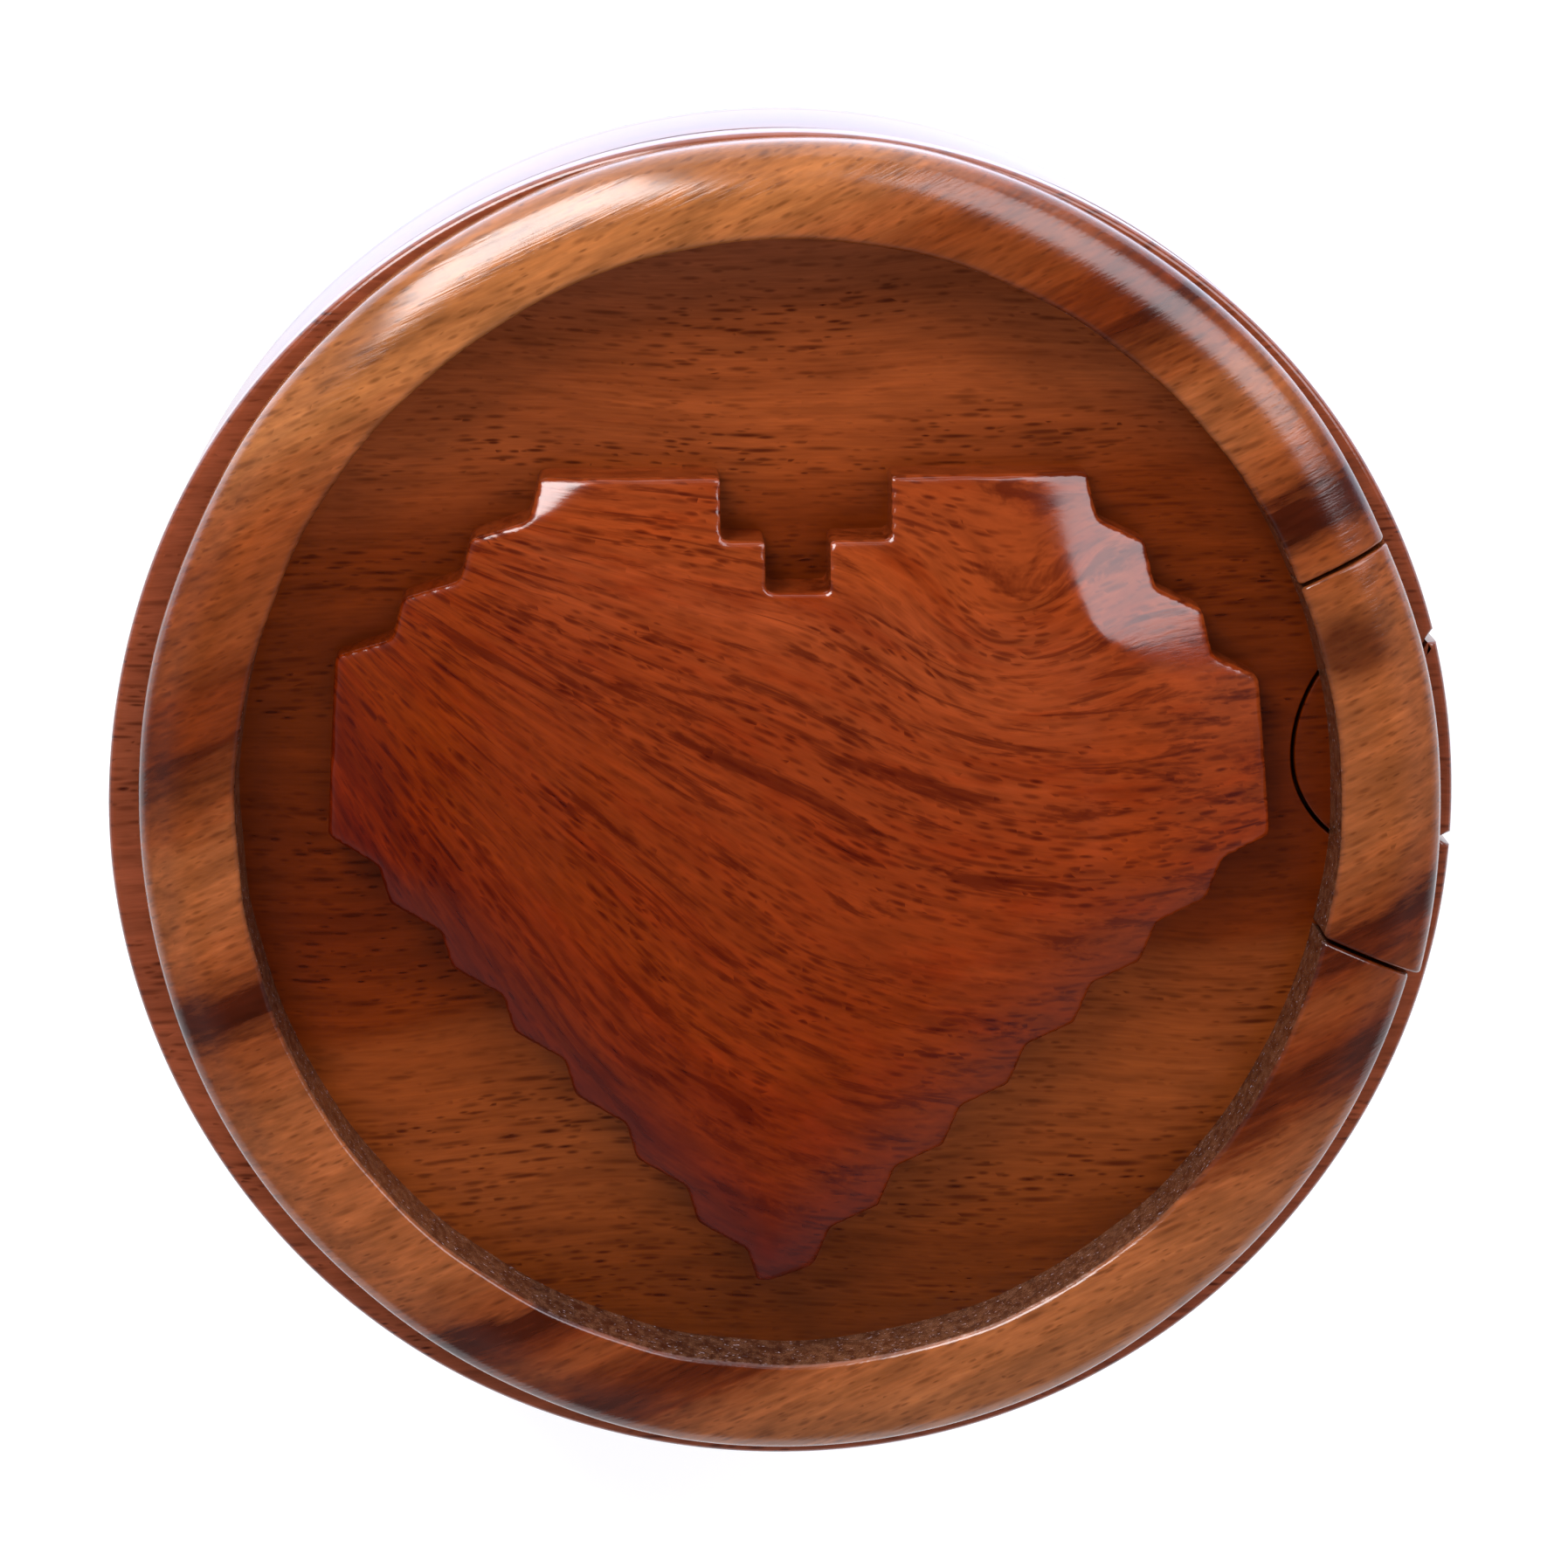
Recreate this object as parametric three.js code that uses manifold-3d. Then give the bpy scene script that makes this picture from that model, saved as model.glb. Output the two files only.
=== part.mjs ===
// Round wooden puzzle box with a raised stepped heart on its lid.
// A thick-walled box carries a lid that swings sideways on a wooden pivot hidden under the
// lid's frame ring. A key, cut out of the lid's edge, lifts off and frees the lid.
// Millimetres, +Z up, origin at the middle of the base, key on the +X side, pivot on the -Y side.

import * as THREE from "three";
import { mergeVertices } from "three/addons/utils/BufferGeometryUtils.js";
import Module from "manifold-3d";

const wasm = await Module();
wasm.setup();

// ---- Driving dimensions ----

const ROUND_SEGMENTS = 80;
const SMALL_SEGMENTS = 32;
const EDGE_STEPS = 3;
const CUT_MARGIN = 1; // how far a cutter reaches past the solid that it cuts

const BOX_RADIUS = 60;
const BASE_THICKNESS = 6;
const BASE_EDGE = 3;
const BODY_TOP = 27;
const BODY_EDGE = 0.75;
const CAVITY_RADIUS = 42;

const LINING_GAP = 0.3;
const LINING_THICKNESS = 0.75;
const LINING_HEIGHT = 15;

const LID_GAP = 0.25; // the dark joint line between box and lid
const PLATE_THICKNESS = 6;
const PLATE_EDGE = 0.75;
const LID_BOTTOM = BODY_TOP + LID_GAP;

const RING_OUTER = { x: 0.35, y: 0.85, halfWidth: 57.35, halfDepth: 58.85 };
const RING_INNER = { x: 0.3, y: 1.05, halfWidth: 48.6, halfDepth: 50.35 };
const RING_HEIGHT = 8;
// The crown of the ring's section, from its outer foot: [share of the width, height].
const RING_CROWN = [
  [1, 0],
  [1, 3.6],
  [0.97, 5],
  [0.9, 5.75],
  [0.8, 6.4],
  [0.65, 7.1],
  [0.45, 7.65],
  [0.25, 7.9],
  [0.07, 8],
];
const RING_INNER_EDGE = 0.6;

const SAW_KERF = 0.6;
const UPPER_CUT = { x: 48.6, y: 22.6, degrees: 24.5 };
const LOWER_CUT = { x: 51.5, y: -12.4, degrees: -24.5 };
const CUT_REACH = 20;
const KEY_PROUD = 1.2; // the key's frame segment stands this far out at its lower saw cut

// The key's tab runs in from the lid's rim, narrows a little, and ends in a round head.
const TAB_ROUTE = [
  [64, 22],
  [58.6, 16.9],
  [56.3, 13.6],
  [52.8, 14.4],
  [48.5, 12.9],
  [45.9, 7.8],
  [45.8, 2.2],
  [48.7, -2.3],
  [53.2, -3.9],
  [59.4, -3.15],
  [66, -3.6],
];
const TAB_STEPS = 44;
const NOTCH_ANGLES = [16.1, -3.05]; // where the tab's saw cut leaves the rim, in degrees
const NOTCH_DEPTH = 1.3;
const NOTCH_HALF_WIDTH = 1.1;

const PIVOT = { x: 0, y: -53 };
const DOWEL_RADIUS = 3;
const DOWEL_BOTTOM = 12;
const DOWEL_IN_RING = 4;
const DOWEL_PILOT_DEPTH = 10.5;
const GLUE_GAP = 0.3;
const PIVOT_BORE_RADIUS = 3.4;
const WASHER_RADIUS = 4.5;
const WASHER_THICKNESS = 1;
const WASHER_POCKET_RADIUS = 5;
const SCREW_RADIUS = 1.25;
const SCREW_LENGTH = 11;
const SCREW_HEAD_RADIUS = 2.75;
const SCREW_HEAD_HEIGHT = 2;
const SCREW_HEAD_EDGE = 1;
const SCREW_TIP = 2;
const SCREW_SLOT = { width: 0.8, depth: 0.9 };

const FOOT = { x: 51, y: 5.3, halfWidth: 2.8, halfLength: 3.2, depth: 5 };
const GROOVE_CLEARANCE = 0.5;
const GROOVE_END_DEGREES = 66; // bearing from the pivot at which the groove is inside the cavity

// The heart's stairs on each side are steps of [outwards, upwards] from the lobe's top corner.
const HEART_HEIGHT = 8.5;
const HEART_MARGIN = 1; // how far the crowned block reaches past the outline before it is cut
const HEART_REACH_STEP = 0.05;
const HEART_RINGS = [1, 0.96, 0.91, 0.85, 0.78, 0.68, 0.5, 0.25]; // shares of the block's radius
const HEART_TOP = 30.7;
const SHOULDER_STAIRS = 3;
const DIAGONAL_STAIRS = 7;
const HEART_RIGHT = {
  notchFloor: 3.8,
  notchTop: 9.2,
  lobe: 26.5,
  riser: [0.9, -4.07],
  tread: [4.25, -2.05],
  side: [1.2, -14.3],
  diagonalTread: [-4.36, -1.75],
  diagonalRiser: [-1.44, -3.8],
};
const HEART_LEFT = {
  notchFloor: 1.8,
  notchTop: 5.7,
  lobe: 21.4,
  riser: [0.95, -3.62],
  tread: [5.1, -1.75],
  side: [0.8, -15.9],
  diagonalTread: [-4.47, -2.41],
  diagonalRiser: [-0.94, -3.46],
};
const NOTCH_FLOOR = 20.7;
const NOTCH_SHELF = 25.2;
// The crown falls away along each side of the hull, from the left shoulder round by the tip: how
// far in that begins, the slope at the side, and the form, from 1 for a facet to 2 for a round.
const HULL_BEVELS = [
  { reach: 4, slope: 0.3, form: 2 },
  { reach: 9, slope: 0.3, form: 2 },
  { reach: 10, slope: 0.52, form: 2 },
  { reach: 8, slope: 0.6, form: 2 },
  { reach: 11, slope: 0.55, form: 2 },
  { reach: 16, slope: 0.35, form: 1.3 },
  { reach: 3, slope: 0.5, form: 2 },
  { reach: 2.5, slope: 0.3, form: 2 },
];
// The flat facets planed off its top and shoulders: a point on each, the bearing that it faces, its
// slope and how softly it begins.
const FACETS = [
  { x: 0, y: 22, degrees: 80, slope: 0.24, softness: 1.5 },
  { x: 26.8, y: 16.4, degrees: 41, slope: 0.45, softness: 0.3 },
  { x: -18.75, y: 27.3, degrees: 116, slope: 0.51, softness: 0.3 },
  { x: -23.5, y: 25, degrees: 166, slope: 0.36, softness: 3 },
];
const BEVEL_BLEND = 5;

// ---- Materials ----

function wood(colour, roughness = 0.3) {
  return new THREE.MeshStandardMaterial({ color: colour, roughness, metalness: 0 });
}

const acacia = wood(0xa86a35);
const plateWood = wood(0x8e5126);
const heartWood = wood(0x99401b);
const bodyWood = wood(0x8f5630);
const beech = wood(0xc9a46f, 0.55);
const felt = wood(0x1d1b1c, 0.95);
const steel = new THREE.MeshStandardMaterial({ color: 0x9a9a9c, roughness: 0.35, metalness: 1 });

// ---- Geometry helpers ----

const radians = THREE.MathUtils.degToRad;

function solidOf(geometry) {
  const bare = geometry.clone();
  bare.deleteAttribute("normal");
  bare.deleteAttribute("uv");
  const merged = mergeVertices(bare, 1e-4);
  const corners = merged.index.array;
  const kept = [];
  for (let i = 0; i < corners.length; i += 3) {
    const [a, b, c] = corners.slice(i, i + 3);
    if (a !== b && b !== c && c !== a) kept.push(a, b, c);
  }
  const vertProperties = merged.attributes.position.array;
  const triVerts = new Uint32Array(kept);
  return new wasm.Manifold(new wasm.Mesh({ numProp: 3, vertProperties, triVerts }));
}

function geometryOf(solid) {
  const mesh = solid.getMesh();
  const geometry = new THREE.BufferGeometry();
  geometry.setAttribute("position", new THREE.BufferAttribute(mesh.vertProperties, 3));
  geometry.setIndex(new THREE.BufferAttribute(mesh.triVerts, 1));
  geometry.computeVertexNormals();
  return geometry;
}

// A quarter of an ellipse from one profile point to the next, as a list of points.
function quarter(centreX, centreZ, radiusX, radiusZ, fromDegrees, steps = EDGE_STEPS) {
  const points = [];
  for (let i = 0; i <= steps; i++) {
    const angle = radians(fromDegrees + (90 * i) / steps);
    points.push([centreX + radiusX * Math.cos(angle), centreZ + radiusZ * Math.sin(angle)]);
  }
  return points;
}

// Turns a profile of [radius, height] points about the Z axis.
function turned(profile, segments = ROUND_SEGMENTS) {
  const points = profile.map(([radius, height]) => new THREE.Vector2(radius, height));
  return new THREE.LatheGeometry(points, segments).rotateX(Math.PI / 2);
}

function disc(radius, low, high, lowEdge, highEdge) {
  return turned([
    [0, low],
    ...quarter(radius - lowEdge, low + lowEdge, lowEdge, lowEdge, -90),
    ...quarter(radius - highEdge, high - highEdge, highEdge, highEdge, 0),
    [0, high],
  ]);
}

function cylinder(radius, low, high, segments = SMALL_SEGMENTS) {
  return turned([[0, low], [radius, low], [radius, high], [0, high]], segments);
}

function tube(inner, outer, low, high, segments = ROUND_SEGMENTS) {
  const corners = [[inner, low], [outer, low], [outer, high], [inner, high], [inner, low]];
  return turned(corners, segments);
}

function prism(points, low, high) {
  const shape = new THREE.Shape(points.map(([x, y]) => new THREE.Vector2(x, y)));
  const options = { depth: high - low, bevelEnabled: false };
  return new THREE.ExtrudeGeometry(shape, options).translate(0, 0, low);
}

function atPivot(geometry) {
  return geometry.translate(PIVOT.x, PIVOT.y, 0);
}

// Moves each point of an open outline sideways, to its right-hand side.
function shifted(points, distance) {
  return points.map(([x, y], i) => {
    const before = points[Math.max(i - 1, 0)];
    const after = points[Math.min(i + 1, points.length - 1)];
    const along = new THREE.Vector2(after[0] - before[0], after[1] - before[1]).normalize();
    return [x + distance * along.y, y - distance * along.x];
  });
}

// ---- Outlines ----

// The tab's outline, closed outside the rim; growth widens it on all sides.
function tabOutline(growth) {
  const route = TAB_ROUTE.map(([x, y]) => new THREE.Vector2(x, y));
  const points = new THREE.SplineCurve(route).getPoints(TAB_STEPS);
  return shifted(points.map((p) => [p.x, p.y]), growth);
}

// The wedge between the two saw cuts through the frame ring; growth moves both cuts apart.
function keyWedge(growth) {
  const ends = ({ x, y, degrees }, side) => {
    const along = [Math.cos(radians(degrees)), Math.sin(radians(degrees))];
    return [-CUT_REACH, CUT_REACH].map((t) => [
      x + t * along[0] - side * growth * along[1],
      y + t * along[1] + side * growth * along[0],
    ]);
  };
  const [lowerIn, lowerOut] = ends(LOWER_CUT, -1);
  const [upperIn, upperOut] = ends(UPPER_CUT, 1);
  return [lowerIn, lowerOut, upperOut, upperIn];
}

// A band about the pivot, between two radii and two bearings.
function pivotBand(inner, outer, fromDegrees, toDegrees, steps = 12) {
  const bearings = Array.from({ length: steps + 1 }, (_, i) =>
    radians(fromDegrees + ((toDegrees - fromDegrees) * i) / steps),
  );
  const at = (radius) => (b) => [
    PIVOT.x + radius * Math.cos(b),
    PIVOT.y + radius * Math.sin(b),
  ];
  return [...bearings.map(at(outer)), ...bearings.reverse().map(at(inner))];
}

// One side of the heart from the notch's floor round to the tip, with x measured outwards.
function heartSide(side) {
  const points = [
    [side.notchFloor, NOTCH_FLOOR],
    [side.notchFloor, NOTCH_SHELF],
    [side.notchTop, NOTCH_SHELF],
    [side.notchTop, HEART_TOP],
    [side.lobe, HEART_TOP],
  ];
  const hull = [points.at(-1)];
  const go = ([dx, dy]) => {
    const [x, y] = points.at(-1);
    points.push([x + dx, y + dy]);
  };
  for (let i = 0; i < SHOULDER_STAIRS; i++) {
    go(side.riser);
    go(side.tread);
  }
  hull.push(points.at(-1));
  go(side.side);
  hull.push(points.at(-1));
  for (let i = 0; i < DIAGONAL_STAIRS; i++) {
    go(side.diagonalTread);
    go(side.diagonalRiser);
  }
  hull.push(points.at(-1));
  return { points, hull };
}

const rightSide = heartSide(HEART_RIGHT);
const leftSide = heartSide(HEART_LEFT);

// Joins the two sides, anticlockwise from the left side's start to the right side's start.
function bothSides(part) {
  const left = leftSide[part].map(([x, y]) => [-x, y]);
  return [...left, ...rightSide[part].toReversed()];
}

const heartHull = bothSides("hull");

// How far a point is inside each side of the heart's smooth hull.
function hullDepths(x, y) {
  return heartHull.map(([ax, ay], i) => {
    const [bx, by] = heartHull[(i + 1) % heartHull.length];
    const length = Math.hypot(bx - ax, by - ay);
    return ((bx - ax) * (y - ay) - (by - ay) * (x - ax)) / length;
  });
}

function crownHeight(x, y) {
  const falls = hullDepths(x, y).map((depth, i) => {
    const { reach, slope, form } = HULL_BEVELS[i];
    const share = THREE.MathUtils.clamp(1 - depth / reach, 0, 1.3);
    return ((slope * reach) / form) * share ** form;
  });
  for (const facet of FACETS) {
    const angle = radians(facet.degrees);
    const past = (x - facet.x) * Math.cos(angle) + (y - facet.y) * Math.sin(angle);
    const gone = facet.softness * Math.log1p(Math.exp(past / facet.softness));
    falls.push(facet.slope * gone);
  }
  const total = falls.reduce((sum, fall) => sum + fall ** BEVEL_BLEND, 0);
  return HEART_HEIGHT - total ** (1 / BEVEL_BLEND);
}

// ---- Box ----

function basePlate() {
  const profile = [
    [0, 0],
    ...quarter(BOX_RADIUS - BASE_EDGE, BASE_EDGE, BASE_EDGE, BASE_EDGE, -90),
    [BOX_RADIUS, BASE_THICKNESS],
    [0, BASE_THICKNESS],
  ];
  return turned(profile);
}

function footBearing() {
  return THREE.MathUtils.radToDeg(Math.atan2(FOOT.y - PIVOT.y, FOOT.x - PIVOT.x));
}

// The key's foot, or with clearance and a later end the groove that it runs in.
function footBand(clearance, endDegrees) {
  const radius = Math.hypot(FOOT.x - PIVOT.x, FOOT.y - PIVOT.y);
  const halfAngle = THREE.MathUtils.radToDeg((FOOT.halfLength + clearance) / radius);
  const from = footBearing() - halfAngle;
  const to = endDegrees ?? footBearing() + halfAngle;
  const halfWidth = FOOT.halfWidth + clearance;
  return pivotBand(radius - halfWidth, radius + halfWidth, from, to);
}

function boxBody() {
  const inner = CAVITY_RADIUS;
  const wall = turned([
    [inner, BASE_THICKNESS],
    [BOX_RADIUS, BASE_THICKNESS],
    ...quarter(BOX_RADIUS - BODY_EDGE, BODY_TOP - BODY_EDGE, BODY_EDGE, BODY_EDGE, 0),
    ...quarter(inner + BODY_EDGE, BODY_TOP - BODY_EDGE, BODY_EDGE, BODY_EDGE, 90),
    [inner, BASE_THICKNESS],
  ]);
  const grooveFloor = LID_BOTTOM - FOOT.depth - GROOVE_CLEARANCE;
  const [under, over] = [BASE_THICKNESS - CUT_MARGIN, BODY_TOP + CUT_MARGIN];
  const groove = prism(footBand(GROOVE_CLEARANCE, GROOVE_END_DEGREES), grooveFloor, over);
  const bore = atPivot(cylinder(PIVOT_BORE_RADIUS, under, over));
  const pocket = atPivot(cylinder(WASHER_POCKET_RADIUS, under, DOWEL_BOTTOM));
  return geometryOf(
    solidOf(wall).subtract(solidOf(groove)).subtract(solidOf(bore)).subtract(solidOf(pocket)),
  );
}

function liningWall() {
  const outer = CAVITY_RADIUS - LINING_GAP;
  const top = BASE_THICKNESS + LINING_HEIGHT;
  return tube(outer - LINING_THICKNESS, outer, BASE_THICKNESS, top);
}

function liningFloor() {
  const radius = CAVITY_RADIUS - 2 * LINING_GAP - LINING_THICKNESS;
  return cylinder(radius, BASE_THICKNESS, BASE_THICKNESS + LINING_THICKNESS, ROUND_SEGMENTS);
}

// ---- Lid and key, with heights measured from the underside of the lid ----

function wholePlate() {
  return solidOf(disc(BOX_RADIUS, 0, PLATE_THICKNESS, PLATE_EDGE, PLATE_EDGE));
}

function throughPlate(points) {
  return prism(points, -CUT_MARGIN, PLATE_THICKNESS + CUT_MARGIN);
}

// The small V cuts where the tab's saw cut leaves the rim.
function rimNotches() {
  const reach = BOX_RADIUS + CUT_MARGIN;
  const width = (NOTCH_HALF_WIDTH * (NOTCH_DEPTH + CUT_MARGIN)) / NOTCH_DEPTH;
  const corners = [[BOX_RADIUS - NOTCH_DEPTH, 0], [reach, -width], [reach, width]];
  const notches = NOTCH_ANGLES.map((degrees) =>
    solidOf(throughPlate(corners).rotateZ(radians(degrees))),
  );
  return notches.reduce((all, notch) => all.add(notch));
}

function tabCutter(growth) {
  return solidOf(throughPlate(tabOutline(growth)));
}

function lidPlate() {
  const top = PLATE_THICKNESS + CUT_MARGIN;
  const hole = solidOf(atPivot(cylinder(DOWEL_RADIUS + GLUE_GAP, -CUT_MARGIN, top)));
  const cut = wholePlate().subtract(tabCutter(SAW_KERF / 2));
  return geometryOf(cut.subtract(rimNotches()).subtract(hole));
}

function keyTab() {
  return geometryOf(wholePlate().intersect(tabCutter(-SAW_KERF / 2)).subtract(rimNotches()));
}

// The frame ring's section: [share of the width from the inner side, height].
function ringSection() {
  const width = RING_OUTER.halfWidth - RING_INNER.halfWidth;
  const edge = RING_INNER_EDGE / width;
  const middle = RING_HEIGHT - RING_INNER_EDGE;
  const innerEdge = quarter(edge, middle, edge, RING_INNER_EDGE, 90, EDGE_STEPS);
  return [[0, 0], ...RING_CROWN, ...innerEdge.slice(1)];
}

function onEllipse({ x, y, halfWidth, halfDepth }, angle, growth = 0) {
  return [
    x + (halfWidth + growth) * Math.cos(angle),
    y + (halfDepth + growth) * Math.sin(angle),
  ];
}

// The whole frame ring, with its outer side grown by a length that depends on the angle.
function frameRing(growthAt) {
  const section = ringSection();
  const positions = [];
  const faces = [];
  for (let i = 0; i < ROUND_SEGMENTS; i++) {
    const angle = (2 * Math.PI * i) / ROUND_SEGMENTS;
    const inner = onEllipse(RING_INNER, angle);
    const outer = onEllipse(RING_OUTER, angle, growthAt(angle));
    section.forEach(([share, height], j) => {
      const x = inner[0] + (outer[0] - inner[0]) * share;
      const y = inner[1] + (outer[1] - inner[1]) * share;
      positions.push(x, y, PLATE_THICKNESS + height);
      const next = (i + 1) % ROUND_SEGMENTS;
      const above = (j + 1) % section.length;
      const corner = (turn, point) => turn * section.length + point;
      faces.push(corner(i, j), corner(next, j), corner(next, above));
      faces.push(corner(i, j), corner(next, above), corner(i, above));
    });
  }
  const geometry = new THREE.BufferGeometry();
  geometry.setAttribute("position", new THREE.Float32BufferAttribute(positions, 3));
  geometry.setIndex(faces);
  return solidOf(geometry);
}

function wedgeCutter(growth) {
  const top = PLATE_THICKNESS + RING_HEIGHT + CUT_MARGIN;
  return solidOf(prism(keyWedge(growth), PLATE_THICKNESS - CUT_MARGIN, top));
}

function lidRing() {
  const top = PLATE_THICKNESS + DOWEL_IN_RING + GLUE_GAP;
  const bottom = PLATE_THICKNESS - CUT_MARGIN;
  const socket = atPivot(cylinder(DOWEL_RADIUS + GLUE_GAP, bottom, top));
  const ring = frameRing(() => 0).subtract(wedgeCutter(SAW_KERF / 2));
  return geometryOf(ring.subtract(solidOf(socket)));
}

function keyRing() {
  const lower = radians(LOWER_CUT.degrees);
  const upper = radians(UPPER_CUT.degrees);
  const proudAt = (angle) => {
    const turn = angle > Math.PI ? angle - 2 * Math.PI : angle;
    return KEY_PROUD * THREE.MathUtils.clamp((upper - turn) / (upper - lower), 0, 1);
  };
  return geometryOf(frameRing(proudAt).intersect(wedgeCutter(-SAW_KERF / 2)));
}

function keyFoot() {
  return prism(footBand(0), -FOOT.depth, 0);
}

// The crowned block is a round cake drawn out to the heart's hull, then cut by the outline.
function heartInlay() {
  const cake = turned([[0, 0], [1, 0], ...HEART_RINGS.map((share) => [share, 1]), [0, 1]]);
  const place = cake.attributes.position;
  for (let i = 0; i < place.count; i++) {
    const share = Math.hypot(place.getX(i), place.getY(i));
    const angle = Math.atan2(place.getY(i), place.getX(i));
    const [dx, dy] = [Math.cos(angle), Math.sin(angle)];
    let reach = 0;
    while (Math.min(...hullDepths(reach * dx, reach * dy)) > -HEART_MARGIN) {
      reach += HEART_REACH_STEP;
    }
    const [x, y] = [share * reach * dx, share * reach * dy];
    const height = place.getZ(i) > 0 ? crownHeight(x, y) : 0;
    place.setXYZ(i, x, y, PLATE_THICKNESS + height);
  }
  const top = PLATE_THICKNESS + HEART_HEIGHT + CUT_MARGIN;
  const outline = prism(bothSides("points"), PLATE_THICKNESS - CUT_MARGIN, top);
  return geometryOf(solidOf(cake).intersect(solidOf(outline)));
}

// ---- Pivot, with heights measured from the underside of the base ----

function pivotDowel() {
  const top = LID_BOTTOM + PLATE_THICKNESS + DOWEL_IN_RING;
  const body = solidOf(cylinder(DOWEL_RADIUS, DOWEL_BOTTOM, top));
  const pilotTop = DOWEL_BOTTOM + DOWEL_PILOT_DEPTH;
  const radius = SCREW_RADIUS + GLUE_GAP;
  const pilot = cylinder(radius, DOWEL_BOTTOM - CUT_MARGIN, pilotTop, SMALL_SEGMENTS / 2);
  return atPivot(geometryOf(body.subtract(solidOf(pilot))));
}

function pivotWasher() {
  const top = DOWEL_BOTTOM - LID_GAP;
  const hole = SCREW_RADIUS + GLUE_GAP;
  return atPivot(tube(hole, WASHER_RADIUS, top - WASHER_THICKNESS, top, SMALL_SEGMENTS));
}

function pivotScrew() {
  const seat = DOWEL_BOTTOM - LID_GAP - WASHER_THICKNESS;
  const bottom = seat - SCREW_HEAD_HEIGHT;
  const round = { x: SCREW_HEAD_RADIUS - SCREW_HEAD_EDGE, z: bottom + SCREW_HEAD_EDGE };
  const profile = [
    [0, bottom],
    ...quarter(round.x, round.z, SCREW_HEAD_EDGE, SCREW_HEAD_EDGE, -90),
    [SCREW_HEAD_RADIUS, seat],
    [SCREW_RADIUS, seat],
    [SCREW_RADIUS, seat + SCREW_LENGTH - SCREW_TIP],
    [0, seat + SCREW_LENGTH],
  ];
  const slot = new THREE.BoxGeometry(2 * WASHER_RADIUS, SCREW_SLOT.width, 2 * SCREW_SLOT.depth);
  slot.translate(0, 0, bottom);
  const screw = solidOf(turned(profile, SMALL_SEGMENTS / 2));
  return atPivot(geometryOf(screw.subtract(solidOf(slot))));
}

// ---- Assembly ----

function named(name, geometry, material) {
  const mesh = new THREE.Mesh(geometry, material);
  mesh.name = name;
  return mesh;
}

const box = new THREE.Group();
box.add(
  named("base_plate", basePlate(), bodyWood),
  named("box_body", boxBody(), bodyWood),
  named("lining_wall", liningWall(), felt),
  named("lining_floor", liningFloor(), felt),
);

const key = new THREE.Group();
key.add(
  named("key_tab", keyTab(), plateWood),
  named("key_ring", keyRing(), acacia),
  named("key_foot", keyFoot(), beech),
);

const lid = new THREE.Group();
lid.position.z = LID_BOTTOM;
lid.add(
  named("lid_plate", lidPlate(), plateWood),
  named("lid_ring", lidRing(), acacia),
  named("heart_inlay", heartInlay(), heartWood),
  key,
);

const pivot = new THREE.Group();
pivot.add(
  named("pivot_dowel", pivotDowel(), beech),
  named("pivot_washer", pivotWasher(), steel),
  named("pivot_screw", pivotScrew(), steel),
);

const puzzleBox = new THREE.Group();
puzzleBox.add(box, lid, pivot);

export default puzzleBox;
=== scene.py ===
"""The looks of a round, lacquered wooden puzzle box with a stepped heart on its lid.

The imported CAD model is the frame, and every piece here stands for one CAD node. Lengths are in
millimetres and angles in degrees. They turn into metres and radians only where Blender takes them.
"""

import math

import bpy
from mathutils import Matrix, Vector, noise


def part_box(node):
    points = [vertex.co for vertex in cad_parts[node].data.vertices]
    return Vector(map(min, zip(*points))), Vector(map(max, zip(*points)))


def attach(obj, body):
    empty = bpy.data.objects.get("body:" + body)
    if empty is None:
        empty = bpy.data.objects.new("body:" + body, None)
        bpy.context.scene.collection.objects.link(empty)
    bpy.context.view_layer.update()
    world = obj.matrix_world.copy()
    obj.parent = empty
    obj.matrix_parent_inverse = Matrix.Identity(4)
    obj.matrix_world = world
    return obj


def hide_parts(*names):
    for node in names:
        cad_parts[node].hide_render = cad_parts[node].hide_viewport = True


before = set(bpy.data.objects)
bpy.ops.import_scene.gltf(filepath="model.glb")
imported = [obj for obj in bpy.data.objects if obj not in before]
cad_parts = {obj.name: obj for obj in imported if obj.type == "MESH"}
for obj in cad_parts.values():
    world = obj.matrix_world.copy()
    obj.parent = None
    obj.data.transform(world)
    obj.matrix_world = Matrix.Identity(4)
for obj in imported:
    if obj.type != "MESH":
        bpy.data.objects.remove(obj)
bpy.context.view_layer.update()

MM = 0.001

# ---- Heights and radii from the frame ----


def height_range(node):
    low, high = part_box(node)
    return low.z / MM, high.z / MM


BOX_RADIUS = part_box("base_plate")[1].x / MM
BASE_BOTTOM, BASE_TOP = height_range("base_plate")
BODY_TOP = height_range("box_body")[1]
LID_BOTTOM, PLATE_TOP = height_range("lid_plate")
RING_TOP = height_range("lid_ring")[1]
HEART_TOP = height_range("heart_inlay")[1]
LINING_TOP = height_range("lining_wall")[1]
LINING_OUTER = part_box("lining_wall")[1].x / MM
FLOOR_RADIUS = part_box("lining_floor")[1].x / MM
FLOOR_TOP = height_range("lining_floor")[1]
FOOT_BOTTOM = height_range("key_foot")[0]
DOWEL_BOTTOM, DOWEL_TOP = height_range("pivot_dowel")
WASHER_BOTTOM, WASHER_TOP = height_range("pivot_washer")
SCREW_BOTTOM, SCREW_TOP = height_range("pivot_screw")

# ---- Outlines, as in the CAD model ----

BASE_EDGE = 3
GLUED_EDGE = 0.05  # the barely broken edge of a face that is glued down
BODY_EDGE = 0.75
PLATE_EDGE = 0.75
CAVITY_RADIUS = 42
LINING_THICKNESS = 0.75
LINING_FLOOR_EDGE = 0.3

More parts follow.
